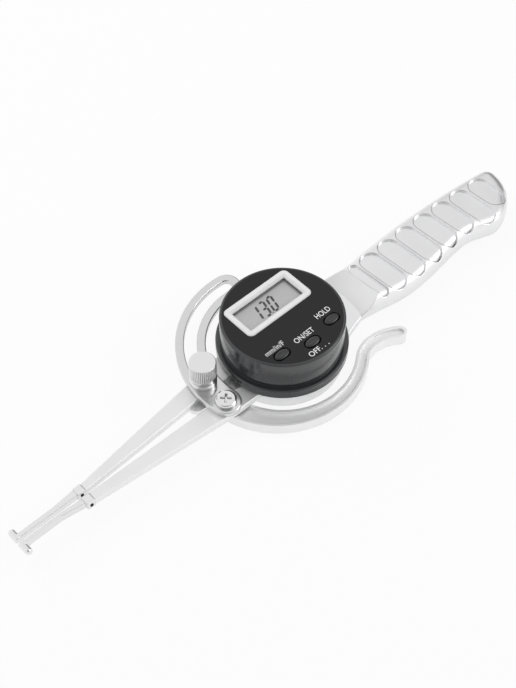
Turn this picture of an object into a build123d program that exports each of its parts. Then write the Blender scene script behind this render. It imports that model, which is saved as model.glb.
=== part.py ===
from build123d import *
from math import asin, cos, degrees, radians, sin, sqrt
import os

# Digital inside caliper, in millimetres. The origin is on the pivot axis, on the surface that the
# tool lies on. +X runs towards the grip, -X towards the tips, +Z up to the display. The jaws are
# shown closed, with the trigger squeezed and the lock knob tight.
os.makedirs("parts", exist_ok=True)

# Clearances
press_clearance = 0.02
running_clearance = 0.05
slide_clearance = 0.15
layer_gap = 0.3

# Levels of the metal parts
floor_bottom = 2.4
floor_thickness = 1.5
leg_thickness = 3.0
leg_top = 10.2
floor_top = floor_bottom + floor_thickness
leg_bottom = leg_top - leg_thickness
jaw_top = leg_top - layer_gap
jaw_bottom = jaw_top - leg_thickness
tip_level = (leg_bottom + jaw_top) / 2

# Cup under the head, open on the side where the moving leg swings
cup_radius = 25.5
cup_wall = 2.0
foot_radius = 16.0
cup_open_from = 61.0
cup_open_to = 188.0

# Pivot
pin_radius = 4.0
pin_bottom = 0.6
bush_wall = 1.45
hub_wall = 2.05
washer_thickness = 0.5
washer_width = 2.1
ring_radius = 9.0
clip_thickness = 0.7
clip_groove_depth = 0.75
clip_radius = 6.0
clip_opening = 4.6
bush_bore = pin_radius + running_clearance
bush_radius = bush_bore + bush_wall
hub_radius = bush_radius + hub_wall
groove_radius = pin_radius - clip_groove_depth
washer_top = floor_top + washer_thickness
web_bottom = washer_top + slide_clearance
clip_bottom = jaw_top + slide_clearance
pin_top = clip_bottom + clip_thickness + 0.6

# Return spring, coiled round the pivot in a pocket of the cup floor
spring_wire = 0.8
spring_radius = 9.6
spring_turns = 2.25
spring_pitch = 0.95
spring_room = 0.6
spring_bottom = 1.3

# Grip, with finger recesses on top and a sole below, and the conical ramps and neck plate that join it to the cup
grip_top = 15.6
grip_bottom = 3.0
grip_round = 4.5
grip_under_round = 6.0
grip_start = (33.5, -12.1)
grip_heading = (1, -0.12)
grip_near_points = ((50.0, -14.9), (67.0, -16.3), (84.0, -14.6), (97.5, -13.3), (105.0, -14.6),
                    (111.5, -17.0), (117.5, -17.0), (129.7, -9.6), (135.0, -0.4))
grip_corner = (136.2, 8.0)
grip_corner_round = 5.0
grip_far_points = ((92.0, 11.6), (50.0, 10.4))
grip_end = (33.5, 13.0)
sole_ends = (54.0, 122.0)
sole_width = 12.0
sole_offset = -1.5
sole_round = 1.5
ridge_first = 50.2
ridge_pitch = 11.2
ridge_width = 1.0
recess_depth = 0.9
recess_turn = 92.5
recess_ends = ((-13.4, 8.0), (-15.0, 8.4), (-15.4, 8.6), (-14.8, 8.6), (-13.5, 8.6), (-12.9, 8.1),
               (-15.8, 7.5), (-12.0, 6.6))
first_recess_width = 4.6
neck_thickness = 3.4
neck_start = cup_radius - 6.0
neck_middle = cup_radius + 2.5
neck_half = 13.7
neck_flare = 2.7
neck_overlap = 0.5
ramp_start = 36.3
ramp_end = 46.4
under_ramp_end = 44.6
neck_bottom = leg_top - neck_thickness

# Head: flanged base, housing with its lid, and the face plate let into the lid
flange_proud = 1.8
flange_height = 4.3
neck_height = 2.1
neck_step = 0.5
head_floor = 1.4
head_wall = 1.7
head_height = 18.8
face_thickness = 1.1
lid_thickness = 1.4
rim_width = 1.1
rim_round = 0.8
flange_chamfer = 0.5
flange_radius = cup_radius + flange_proud
base_neck_radius = cup_radius - neck_step
head_floor_top = leg_top + head_floor
flange_top = leg_top + flange_height
housing_bottom = flange_top + neck_height
head_top = leg_top + head_height
face_bottom = head_top - face_thickness
lid_bottom = face_bottom - lid_thickness
face_radius = cup_radius - rim_width
housing_bore = cup_radius - head_wall

# Screws that hold the head on the cup, driven from below into posts that merge with its wall
head_screw_radius = 1.25
head_screw_head = 2.2
head_screw_head_height = 2.2
head_screw_recess = 0.4
head_screw_end = 20.0
head_boss_radius = 3.1
back_screw_angle = -130.0
post_radius = 2.7
post_top = 22.4
post_merge = 0.2
post_room = 1.2
board_notch = head_boss_radius + 0.4
head_screw_reach = housing_bore - post_radius + post_merge

# Angle encoder
carrier_bore = 6.5
carrier_wall = 1.7
rotor_seat = 0.7
rotor_room = 0.7
rotor_thickness = 1.1
rotor_gap = 0.6
stator_gap = 0.5
board_thickness = 1.2
board_room = 0.6
pillar_angles = (110.0, 190.0, 270.0)
pillar_inset = 2.6
pillar_radius = 1.7
small_screw_radius = 0.8
small_screw_head = 1.5
small_screw_head_height = 0.8
chip_thickness = 1.1
chip_side = 6.0
sensor_chip_x = -12.0
board_radius = housing_bore - board_room
pillar_reach = board_radius - pillar_inset
rotor_radius = head_screw_reach - head_boss_radius - rotor_room
carrier_radius = carrier_bore + carrier_wall
rotor_bottom = head_floor_top + rotor_gap
rotor_top = rotor_bottom + rotor_thickness
stator_bottom = rotor_top + stator_gap
stator_top = stator_bottom + board_thickness

# Display
bezel_length = 34.5
bezel_width = 17.3
bezel_corner = 2.4
bezel_height = 1.55
bezel_border = 2.9
bezel_bevel = 0.8
bezel_margin = 0.9
panel_margin = 1.0
window_thickness = 1.0
panel_thickness = 1.7
zebra_height = 1.0
zebra_width = 1.6
zebra_inset = 1.2
corner_reach = face_radius - bezel_margin - bezel_corner
corner_x = bezel_length / 2 - bezel_corner
display_y = sqrt(corner_reach ** 2 - corner_x ** 2) - bezel_width / 2 + bezel_corner
window_length = bezel_length - 2 * bezel_border
window_width = bezel_width - 2 * bezel_border
panel_length = window_length + 2 * panel_margin
panel_width = window_width + 2 * panel_margin
panel_top = face_bottom - window_thickness
panel_bottom = panel_top - panel_thickness
main_top = panel_bottom - zebra_height
main_bottom = main_top - board_thickness
display_chip_place = (-11.0, -6.0)

# Keys
key_length = 7.6
key_width = 4.4
key_proud = 0.5
key_round = 0.35
key_flange = 0.6
key_flange_thickness = 0.95
switch_size = 4.6
switch_height = 0.7
key_inset = 4.2
power_key_inset = 6.1
units_key_angle = -134.0
power_key_angle = -91.6
hold_key_angle = -48.2
board_screw_angles = (95.0, 185.0, -69.0)
board_screw_inset = 2.7
board_boss_radius = 1.8
key_flange_top = lid_bottom - slide_clearance
key_flange_bottom = key_flange_top - key_flange_thickness

# Battery drawer, which slides out over the grip
cell_radius = 10.0
cell_thickness = 3.2
cell_x = cup_radius - 14.5
tray_floor = 0.7
tray_wall = 0.8
tray_bottom = 17.9
holder_wall = 1.3
holder_floor = 0.8
holder_end = cup_radius - 5.7
contact_half = 1.8
contact_leaf = 0.25
tray_notch_half = 2.5
coin_slot = (8.0, 1.2, 0.8)
tray_half = cell_radius + slide_clearance + tray_wall
cell_bottom = tray_bottom + tray_floor
cell_top = cell_bottom + cell_thickness
tray_top = cell_top - 0.1
tray_back = cell_x - tray_half
holder_half = tray_half + slide_clearance + holder_wall
holder_floor_top = tray_bottom - slide_clearance
holder_bottom = holder_floor_top - holder_floor

# Slotted arc plate, held at one end by a screw in the fixed leg
quadrant_radius = 37.55
plate_width = 12.5
plate_thickness = 2.2
plate_chamfer = 0.3
slot_width = 5.3
plate_fixed_angle = 190.5
clamp_angle = 169.6
slot_near_angle = 170.2
slot_far_angle = 85.6
plate_screw_radius = 2.0
plate_screw_head = 4.35
plate_screw_head_height = 2.0
cross_length = 4.4
cross_width = 0.95
cross_depth = 1.2
dowel_radius = 1.0
dowel_inset = 3.65
dowel_angle = 188.6
dowel_skin = 0.6
plate_top = leg_top + plate_thickness

# Clamp stud, clamp washer and lock knob
stud_radius = 2.5
stud_head_radius = 3.9
stud_head_height = 1.9
clamp_washer_radius = 5.6
clamp_washer_thickness = 1.9
clamp_seat = 0.06
knob_gap = 0.1
knob_radius = 5.55
knob_collar_radius = 5.1
knob_collar_height = 2.6
knob_knurl_height = 7.5
knob_flutes = 40
knob_flute_radius = 0.3
knob_chamfer = 0.45
knob_crown = 1.4
stud_end_room = 0.6
washer_bottom = plate_top + clamp_seat
knob_bottom = washer_bottom + clamp_washer_thickness + knob_gap
knurl_bottom = knob_bottom + knob_collar_height
knob_top = knurl_bottom + knob_knurl_height

# Trigger lever: hub, web under the moving leg, and the curved finger bar with its hook
trigger_bottom = 1.6
trigger_inner = cup_radius + 5.2
trigger_outer = trigger_inner + 7.64
trigger_outer_centre = (-1.56, 1.34)
trigger_from = 177.0
trigger_lip = 1.3
trigger_root_round = 3.0
channel_depth = 1.1
channel_from = 192.0
hook_from = -50.5
hook_inner_radii = (16.8, 22.8)
hook_turns = (39.5, 38.0)
lobe_radius = 3.6
lobe_centre = (-quadrant_radius - 6.65, 3.0)
web_hub_radius = 5.8
stud_pad_radius = 4.6

# Legs, collars and tips, as y limits at the collar and along each blade
leg_root_x = 9.5 - cup_radius
leg_bend_x = -quadrant_radius - 6.65
fixed_leg_outer = ((leg_bend_x - 3.8, -11.3), (leg_bend_x + 4.2, -12.2), (leg_root_x - 7.0, -12.4),
                   (leg_root_x, -11.2))
fixed_leg_inner = ((leg_root_x, -4.9), (leg_root_x - 10.5, -4.4), (leg_root_x - 15.0, -3.4),
                   (leg_bend_x, -3.0))
moving_leg_inner = ((leg_bend_x, 2.5), (-8.0, 2.5), (0, 0))
moving_leg_shoulder = (-24.0, 13.4)
collar_x = -102.5
collar_length = 3.4
collar_rise = 0.5
collar_overlap = 0.15
collar_chamfer = 0.35
leg_chamfer = 0.35
blade_chamfer = 0.3
tip_neck_x = -116.0
tip_end_x = -133.4
contact_radius = 1.5
closed_width = 13.0
jaw_centre_y = -0.55
tenon_length = 4.0
tenon_width = 1.5
tenon_height = 1.4
tip_pin_radius = 0.7
tip_pin_proud = 0.35
fixed_leg_y = (-6.0, -1.9)
moving_leg_y = (-0.2, 3.4)
fixed_blade_y = ((-4.7, -2.05), (-3.15, -1.45), (-3.15, -1.4))
moving_blade_y = ((0.3, 3.3), (0.4, 2.45), (0.45, 2.4))
fixed_tenon_y = -3.5
moving_tenon_y = 1.75
leg_seat_centre = (leg_root_x - 4.25, -8.3)
leg_seat_size = (10.5, 7.4)
leg_screw_places = ((leg_root_x - 1.6, -8.2), (leg_root_x - 6.2, -7.6))
leg_screw_radius = 1.1
leg_screw_head = 2.1
leg_screw_end = 4.4
rivet_places = ((-15.0, 5.0), (-22.5, 6.5))
rivet_radius = 1.4


def polar(radius, angle):
    """Point at a radius and an angle, in degrees, about the pivot."""
    return (radius * cos(radians(angle)), radius * sin(radians(angle)))


def finish(part, name):
    """Label a sub-part and write its file."""
    part.label = name
    export_step(part, f"parts/{name}.step")


clamp_place = polar(quadrant_radius, clamp_angle)
plate_screw_place = polar(quadrant_radius, plate_fixed_angle)
dowel_place = polar(quadrant_radius - dowel_inset, dowel_angle)
front_screw_angle = degrees(asin((holder_half + post_room + post_radius) / head_screw_reach))
head_screw_angles = (back_screw_angle, -front_screw_angle, front_screw_angle)
head_screw_places = [polar(head_screw_reach, angle) for angle in head_screw_angles]
pillar_places = [polar(pillar_reach, angle) for angle in pillar_angles]
board_screw_places = [polar(board_radius - board_screw_inset, angle) for angle in board_screw_angles]
key_places = {
    "button_units": polar(housing_bore - key_inset, units_key_angle),
    "button_power": polar(housing_bore - power_key_inset, power_key_angle),
    "button_hold": polar(housing_bore - key_inset, hold_key_angle),
}

# Outline of the fixed leg, which is let into the cup wall
with BuildSketch() as fixed_leg_outline:
    with BuildLine():
        Polyline((collar_x, fixed_leg_y[0]), *fixed_leg_outer, *fixed_leg_inner,
                 (collar_x, fixed_leg_y[1]), close=True)
    make_face()

# Handle casting: grip, ramp and neck plate, and the cup that carries the pivot and the head
with BuildSketch() as grip_outline:
    with BuildLine():
        heading = Vector(grip_heading)
        corner = grip_start
        for point in (*grip_near_points, grip_corner):
            side = TangentArc(corner, point, tangent=heading)
            heading = side % 1
            corner = point
        far_side = ThreePointArc(grip_corner, *grip_far_points)
        TangentArc(far_side @ 1, grip_end, tangent=far_side % 1)
        Line(grip_end, grip_start)
    make_face()
    fillet(grip_outline.vertices().sort_by_distance(grip_corner)[0], grip_corner_round)

with BuildSketch() as recess_outlines:
    for number, (near_end, far_end) in enumerate(recess_ends):
        right_side = ridge_first + number * ridge_pitch - ridge_width / 2
        width = first_recess_width if number == 0 else ridge_pitch - ridge_width
        with Locations((right_side - width / 2, (near_end + far_end) / 2)):
            SlotOverall(far_end - near_end, width, rotation=recess_turn)

with BuildPart() as grip_core:
    with BuildSketch(Plane.XY.offset(grip_bottom + recess_depth)):
        add(grip_outline.sketch)
        offset(amount=-recess_depth, kind=Kind.INTERSECTION, mode=Mode.REPLACE)
    extrude(amount=grip_top - grip_bottom - 2 * recess_depth)
    fillet(grip_core.edges().group_by(Axis.Z)[-1], grip_round - recess_depth)
    fillet(grip_core.edges().group_by(Axis.Z)[0], grip_under_round - recess_depth)

with BuildPart() as recesses:
    with BuildSketch(Plane.XY.offset((grip_bottom + grip_top) / 2)):
        add(recess_outlines.sketch)
    extrude(amount=grip_top)
    add(grip_core.part, mode=Mode.SUBTRACT)

with BuildPart() as handle_casting:
    with BuildSketch(Plane.XY.offset(grip_bottom)):
        add(grip_outline.sketch)
    extrude(amount=grip_top - grip_bottom)
    fillet(handle_casting.edges().group_by(Axis.Z)[-1], grip_round)
    fillet(handle_casting.edges().group_by(Axis.Z)[0], grip_under_round)
    add(recesses.part, mode=Mode.SUBTRACT)
    with BuildSketch(Plane.XZ):
        with BuildLine():
            Polyline((neck_start, leg_top), (ramp_start, leg_top), (ramp_end, grip_top),
                     (ramp_end, grip_top + 1), (neck_start, grip_top + 1), close=True)
        make_face()
        with BuildLine():
            Polyline((neck_start, neck_bottom), (ramp_start, neck_bottom), (under_ramp_end, grip_bottom),
                     (under_ramp_end, grip_bottom - 1), (neck_start, grip_bottom - 1), close=True)
        make_face()
    revolve(axis=Axis.Z, mode=Mode.SUBTRACT)
    with BuildSketch():
        with Locations(((sole_ends[0] + sole_ends[1]) / 2, sole_offset)):
            SlotOverall(sole_ends[1] - sole_ends[0], sole_width)
    extrude(amount=(grip_bottom + grip_top) / 2)
    fillet(handle_casting.edges().group_by(Axis.Z)[0], sole_round)
    with BuildSketch(Plane.XY.offset(neck_bottom)):
        with BuildLine():
            near_neck = ThreePointArc((neck_start, -neck_half - neck_flare), (neck_middle, -neck_half),
                                      (grip_start[0] + neck_overlap, grip_start[1]))
            far_neck = ThreePointArc((grip_end[0] + neck_overlap, grip_end[1]), (neck_middle, neck_half),
                                     (neck_start, neck_half + neck_flare))
            Line(near_neck @ 1, far_neck @ 0)
            Line(far_neck @ 1, near_neck @ 0)
        make_face()
    extrude(amount=neck_thickness)
    with BuildSketch(Plane.XY.offset(floor_bottom)):
        Circle(cup_radius)
    extrude(amount=leg_top - floor_bottom)
    with BuildSketch():
        Circle(foot_radius)
    extrude(amount=floor_bottom)
    with BuildSketch(Plane.XY.offset(floor_top)):
        Circle(cup_radius - cup_wall)
    extrude(amount=leg_top - floor_top, mode=Mode.SUBTRACT)
    with BuildSketch(Plane.XY.offset(floor_top)):
        with BuildLine():
            opening_arc = CenterArc((0, 0), cup_radius + 1, cup_open_from, cup_open_to - cup_open_from)
            Line(opening_arc @ 1, (0, 0))
            Line((0, 0), opening_arc @ 0)
        make_face()
    extrude(amount=leg_top - floor_top, mode=Mode.SUBTRACT)
    with BuildSketch(Plane.XY.offset(floor_top)):
        with Locations(leg_seat_centre):
            Rectangle(*leg_seat_size)
        Circle(cup_radius, mode=Mode.INTERSECT)
    extrude(amount=leg_bottom - floor_top)
    with BuildSketch(Plane.XY.offset(leg_bottom)):
        add(fixed_leg_outline.sketch)
        offset(amount=slide_clearance, mode=Mode.REPLACE)
    extrude(amount=leg_thickness, mode=Mode.SUBTRACT)
    with BuildSketch(Plane.XY.offset(floor_top)):
        with Locations(*head_screw_places):
            Circle(head_boss_radius)
    extrude(amount=leg_top - floor_top)
    with BuildSketch(Plane.XY.offset(spring_bottom - running_clearance)):
        Circle(spring_radius + spring_wire / 2 + spring_room)
        Circle(spring_radius - spring_wire / 2 - spring_room, mode=Mode.SUBTRACT)
    extrude(amount=floor_top, mode=Mode.SUBTRACT)
    with BuildSketch():
        Circle(pin_radius + press_clearance)
    extrude(amount=leg_top, mode=Mode.SUBTRACT)
    with BuildSketch(Plane.XY.offset(floor_bottom)):
        with Locations(*head_screw_places):
            Circle(head_screw_head + slide_clearance)
    extrude(amount=head_screw_recess + head_screw_head_height, mode=Mode.SUBTRACT)
    with BuildSketch(Plane.XY.offset(floor_bottom)):
        with Locations(*head_screw_places):
            Circle(head_screw_radius + running_clearance)
    extrude(amount=leg_top - floor_bottom, mode=Mode.SUBTRACT)
    with BuildSketch(Plane.XY.offset(leg_screw_end - slide_clearance)):
        with Locations(*leg_screw_places):
            Circle(leg_screw_radius + press_clearance)
    extrude(amount=leg_bottom - leg_screw_end + slide_clearance, mode=Mode.SUBTRACT)

finish(handle_casting.part, "handle_casting")

# Pivot pin, thrust washer, clip and return spring
with BuildPart() as pivot_pin:
    with BuildSketch(Plane.XY.offset(pin_bottom)):
        Circle(pin_radius)
    extrude(amount=pin_top - pin_bottom)
    chamfer(pivot_pin.edges().group_by(Axis.Z)[-1], clip_groove_depth / 2)
    with BuildSketch(Plane.XY.offset(clip_bottom - press_clearance)):
        Circle(pin_radius + 1)
        Circle(groove_radius, mode=Mode.SUBTRACT)
    extrude(amount=clip_thickness + 2 * press_clearance, mode=Mode.SUBTRACT)

finish(pivot_pin.part, "pivot_pin")

with BuildPart() as thrust_washer:
    with BuildSketch(Plane.XY.offset(floor_top)):
        Circle(bush_bore + washer_width)
        Circle(bush_bore, mode=Mode.SUBTRACT)
    extrude(amount=washer_thickness)

finish(thrust_washer.part, "thrust_washer")

with BuildPart() as pivot_clip:
    with BuildSketch(Plane.XY.offset(clip_bottom)):
        Circle(clip_radius)
        Circle(groove_radius + press_clearance, mode=Mode.SUBTRACT)
        with Locations((clip_radius / 2, 0)):
            Rectangle(clip_radius, clip_opening, mode=Mode.SUBTRACT)
    extrude(amount=clip_thickness)

finish(pivot_clip.part, "pivot_clip")

with BuildPart() as return_spring:
    with BuildLine(Plane.XY.offset(spring_bottom + spring_wire / 2)) as spring_path:
        Helix(spring_pitch, spring_pitch * spring_turns, spring_radius)
    with BuildSketch(spring_path.line ^ 0):
        Circle(spring_wire / 2)
    sweep(is_frenet=True)

finish(return_spring.part, "return_spring")

# Fixed leg, seated on the cup, and the screws through its root
with BuildPart() as fixed_leg:
    with BuildSketch(Plane.XY.offset(leg_bottom)):
        add(fixed_leg_outline.sketch)
    extrude(amount=leg_thickness)
    chamfer(fixed_leg.edges().group_by(Axis.Z)[-1], leg_chamfer)
    with Locations((*plate_screw_place, leg_top)):
        Hole(plate_screw_radius + press_clearance)
    with Locations((*dowel_place, leg_top)):
        Hole(dowel_radius + press_clearance, depth=leg_thickness - slide_clearance)
    for place in leg_screw_places:
        with Locations((*place, leg_top)):
            CounterSinkHole(leg_screw_radius + press_clearance, leg_screw_head + press_clearance,
                            counter_sink_angle=90)
    with Locations((collar_x, fixed_tenon_y, tip_level)):
        Box(2 * tenon_length, tenon_width + 2 * press_clearance, tenon_height + 2 * press_clearance,
            mode=Mode.SUBTRACT)

finish(fixed_leg.part, "fixed_leg")

with BuildPart() as fixed_leg_screws:
    with BuildSketch(Plane.XY.offset(leg_screw_end)):
        with Locations(*leg_screw_places):
            Circle(leg_screw_radius)
    extrude(amount=leg_top - slide_clearance - leg_screw_end)
    with Locations(*[(*place, leg_top - slide_clearance) for place in leg_screw_places]):
        Cone(leg_screw_radius, leg_screw_head - slide_clearance,
             leg_screw_head - slide_clearance - leg_screw_radius,
             align=(Align.CENTER, Align.CENTER, Align.MAX))

finish(fixed_leg_screws.part, "fixed_leg_screws")

# Moving leg, with the ring that turns on the pivot bush
with BuildPart() as moving_leg:
    with BuildSketch(Plane.XY.offset(jaw_bottom)):
        with BuildLine():
            Polyline((collar_x, moving_leg_y[0]), *moving_leg_inner, (0, ring_radius),
                     moving_leg_shoulder, (collar_x, moving_leg_y[1]), close=True)
        make_face()
        Circle(ring_radius)
    extrude(amount=leg_thickness)
    chamfer(moving_leg.edges().group_by(Axis.Z)[-1], leg_chamfer)
    with Locations((0, 0, jaw_top)):
        Hole(bush_radius + press_clearance)
    with Locations((*clamp_place, jaw_top)):
        Hole(stud_radius + press_clearance)
    with Locations(*[(*place, jaw_top) for place in rivet_places]):
        Hole(rivet_radius + press_clearance)
    with Locations((collar_x, moving_tenon_y, tip_level)):
        Box(2 * tenon_length, tenon_width + 2 * press_clearance, tenon_height + 2 * press_clearance,
            mode=Mode.SUBTRACT)

finish(moving_leg.part, "moving_leg")

with BuildPart() as moving_leg_rivets:
    with BuildSketch(Plane.XY.offset(web_bottom)):
        with Locations(*rivet_places):
            Circle(rivet_radius)
    extrude(amount=jaw_top - web_bottom)

finish(moving_leg_rivets.part, "moving_leg_rivets")

# Collar, tip blade with its round contact, and cross pin, for each leg
tip_sides = {
    "fixed": (leg_bottom, fixed_leg_y, fixed_blade_y, fixed_tenon_y, -1),
    "moving": (jaw_bottom, moving_leg_y, moving_blade_y, moving_tenon_y, 1),
}
blade_root_x = collar_x - collar_length
for side_name, (leg_level, leg_y, blade_y, tenon_y, outwards) in tip_sides.items():
    collar_low = leg_y[0] - collar_overlap
    collar_high = leg_y[1] + collar_overlap
    with BuildPart() as tip_collar:
        with BuildSketch(Plane.XY.offset(leg_level - collar_rise)):
            with Locations((collar_x - collar_length / 2, (collar_low + collar_high) / 2)):
                Rectangle(collar_length, collar_high - collar_low)
        extrude(amount=leg_thickness + 2 * collar_rise)
        chamfer(tip_collar.edges().filter_by(Axis.X), collar_chamfer)
        with Locations((collar_x - collar_length / 2, tenon_y, tip_level)):
            Box(2 * collar_length, tenon_width + 2 * press_clearance, tenon_height + 2 * press_clearance,
                mode=Mode.SUBTRACT)
        with BuildSketch(Plane.XZ.offset(-collar_low)):
            with Locations((collar_x - collar_length / 2, tip_level)):
                Circle(tip_pin_radius + press_clearance)
        extrude(amount=collar_low - tenon_y, mode=Mode.SUBTRACT)
    finish(tip_collar.part, f"{side_name}_tip_collar")

    with BuildPart() as tip:
        root, neck, end = blade_y
        with BuildSketch(Plane.XY.offset(tip_level - contact_radius)):
            with BuildLine():
                Polyline((blade_root_x, root[0]), (tip_neck_x, neck[0]), (tip_end_x, end[0]),
                         (tip_end_x, end[1]), (tip_neck_x, neck[1]), (blade_root_x, root[1]), close=True)
            make_face()
        extrude(amount=2 * contact_radius)
        chamfer(tip.edges().group_by(Axis.Z)[-1].filter_by(Axis.Y, reverse=True), blade_chamfer)
        inner_y = end[1] if outwards < 0 else end[0]
        outer_y = jaw_centre_y + outwards * closed_width / 2
        sphere_y = outer_y - outwards * contact_radius
        with BuildSketch(Plane.XZ.offset(-inner_y)):
            with Locations((tip_end_x, tip_level)):
                Circle(contact_radius)
        extrude(amount=inner_y - sphere_y)
        with Locations((tip_end_x, sphere_y, tip_level)):
            Sphere(contact_radius)
        with Locations((blade_root_x, tenon_y, tip_level)):
            Box(collar_length + tenon_length - slide_clearance, tenon_width, tenon_height,
                align=(Align.MIN, Align.CENTER, Align.CENTER))
        with BuildSketch(Plane.XZ.offset(-collar_low)):
            with Locations((collar_x - collar_length / 2, tip_level)):
                Circle(tip_pin_radius + press_clearance)
        extrude(amount=collar_low - tenon_y, mode=Mode.SUBTRACT)
    finish(tip.part, f"{side_name}_tip")

    with BuildPart() as tip_pin:
        with BuildSketch(Plane.XZ.offset(tip_pin_proud - collar_low)):
            with Locations((collar_x - collar_length / 2, tip_level)):
                Circle(tip_pin_radius)
        extrude(amount=collar_low - tenon_y - tip_pin_proud)
        chamfer(tip_pin.edges().group_by(Axis.Y)[0], tip_pin_proud / 2)
    finish(tip_pin.part, f"{side_name}_tip_pin")

# Slotted arc plate, its screw in the fixed leg, and the dowel that keeps it from turning
with BuildPart() as quadrant_plate:
    with BuildSketch(Plane.XY.offset(leg_top)):
        with BuildLine(mode=Mode.PRIVATE):
            plate_line = CenterArc((0, 0), quadrant_radius, slot_far_angle,
                                   plate_fixed_angle - slot_far_angle)
            slot_line = CenterArc((0, 0), quadrant_radius, slot_far_angle,
                                  slot_near_angle - slot_far_angle)
        SlotArc(plate_line, plate_width)
        SlotArc(slot_line, slot_width, mode=Mode.SUBTRACT)
        with Locations(plate_screw_place):
            Circle(plate_screw_radius + press_clearance, mode=Mode.SUBTRACT)
    extrude(amount=plate_thickness)
    chamfer(quadrant_plate.faces().sort_by(Axis.Z)[-1].edges(), plate_chamfer)
    with Locations((*dowel_place, leg_top)):
        Cylinder(dowel_radius + press_clearance, plate_thickness - dowel_skin,
                 align=(Align.CENTER, Align.CENTER, Align.MIN), mode=Mode.SUBTRACT)

finish(quadrant_plate.part, "quadrant_plate")

with BuildPart() as quadrant_screw:
    with BuildSketch(Plane.XY.offset(plate_top)):
        with Locations(plate_screw_place):
            Circle(plate_screw_head)
    extrude(amount=plate_screw_head_height)
    fillet(quadrant_screw.edges().group_by(Axis.Z)[-1], plate_screw_head_height * 0.45)
    with BuildSketch(Plane.XY.offset(plate_top + plate_screw_head_height)):
        with Locations(plate_screw_place):
            Rectangle(cross_length, cross_width, rotation=45)
            Rectangle(cross_width, cross_length, rotation=45)
    extrude(amount=-cross_depth, mode=Mode.SUBTRACT)
    with BuildSketch(Plane.XY.offset(leg_bottom + slide_clearance)):
        with Locations(plate_screw_place):
            Circle(plate_screw_radius)
    extrude(amount=plate_top - leg_bottom - slide_clearance)

finish(quadrant_screw.part, "quadrant_screw")

with BuildPart() as quadrant_dowel:
    with BuildSketch(Plane.XY.offset(leg_bottom + 2 * slide_clearance)):
        with Locations(dowel_place):
            Circle(dowel_radius)
    extrude(amount=plate_top - dowel_skin - leg_bottom - 3 * slide_clearance)

finish(quadrant_dowel.part, "quadrant_dowel")

# Clamp stud in the moving leg, the washer that presses on the arc plate, and the knurled lock knob
with BuildPart() as clamp_stud:
    with BuildSketch(Plane.XY.offset(web_bottom - stud_head_height)):
        with Locations(clamp_place):
            RegularPolygon(stud_head_radius, 6)
    extrude(amount=stud_head_height)
    with BuildSketch(Plane.XY.offset(web_bottom)):
        with Locations(clamp_place):
            Circle(stud_radius)
    extrude(amount=knob_top - knob_crown - stud_end_room - web_bottom)
    chamfer(clamp_stud.edges().group_by(Axis.Z)[-1], knob_chamfer)

finish(clamp_stud.part, "clamp_stud")

with BuildPart() as clamp_washer:
    with BuildSketch(Plane.XY.offset(washer_bottom)):
        with Locations(clamp_place):
            Circle(clamp_washer_radius)
            Circle(stud_radius + running_clearance, mode=Mode.SUBTRACT)
    extrude(amount=clamp_washer_thickness)
    chamfer(clamp_washer.edges().group_by(Axis.Z)[-1].sort_by(Edge.length)[-1], knob_chamfer)

finish(clamp_washer.part, "clamp_washer")

with BuildPart() as lock_knob:
    with BuildSketch(Plane.XY.offset(knob_bottom)):
        with Locations(clamp_place):
            Circle(knob_collar_radius)
    extrude(amount=knob_collar_height)
    chamfer(lock_knob.edges().group_by(Axis.Z)[0], knob_chamfer)
    with BuildSketch(Plane.XY.offset(knurl_bottom)):
        with Locations(clamp_place):
            Circle(knob_radius)
            with PolarLocations(knob_radius, knob_flutes):
                Circle(knob_flute_radius, mode=Mode.SUBTRACT)
    extrude(amount=knob_knurl_height)
    with BuildSketch(Plane.XY.offset(knob_top)):
        with Locations(clamp_place):
            Circle(knob_radius + 1)
            Circle(knob_radius - knob_chamfer, mode=Mode.SUBTRACT)
    extrude(amount=-2 * knob_chamfer, taper=-45, mode=Mode.SUBTRACT)
    with BuildSketch(Plane.XY.offset(knob_bottom)):
        with Locations(clamp_place):
            Circle(stud_radius + running_clearance)
    extrude(amount=knob_top - knob_crown - knob_bottom, mode=Mode.SUBTRACT)

finish(lock_knob.part, "lock_knob")


def finger_bar(inset, root_angle):
    """Sketch of the finger bar and its hook, drawn in by an inset and ended at a root angle."""
    turn = 360 + hook_from - root_angle
    centre = Vector(*trigger_outer_centre)
    outwards = Vector(*polar(1, hook_from))
    width = trigger_outer + centre.dot(outwards) - trigger_inner
    root_way = Vector(*polar(1, root_angle))
    root_outer = root_way * (trigger_outer - inset + centre.dot(root_way))
    with BuildSketch() as bar:
        with BuildLine():
            inner = CenterArc((0, 0), trigger_inner + inset, root_angle, turn)
            inner_near = JernArc(inner @ 1, inner % 1, hook_inner_radii[0] - inset, -hook_turns[0])
            inner_far = JernArc(inner_near @ 1, inner_near % 1, hook_inner_radii[1] - inset, -hook_turns[1])
            end = JernArc(inner_far @ 1, inner_far % 1, width / 2 - inset, -180)
            outer_far = JernArc(end @ 1, end % 1, hook_inner_radii[1] - width + inset, hook_turns[1])
            outer_near = JernArc(outer_far @ 1, outer_far % 1, hook_inner_radii[0] - width + inset,
                                 hook_turns[0])
            outer_middle = centre + Vector(*polar(trigger_outer - inset, root_angle + turn / 2))
            ThreePointArc(outer_near @ 1, outer_middle, root_outer)
            Line(root_outer, inner @ 0)
        make_face()
        root_middle = Vector(*polar(trigger_inner, root_angle))
        fillet(bar.vertices().sort_by_distance(root_middle)[:2], trigger_root_round - inset)
    return bar.sketch


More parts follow.
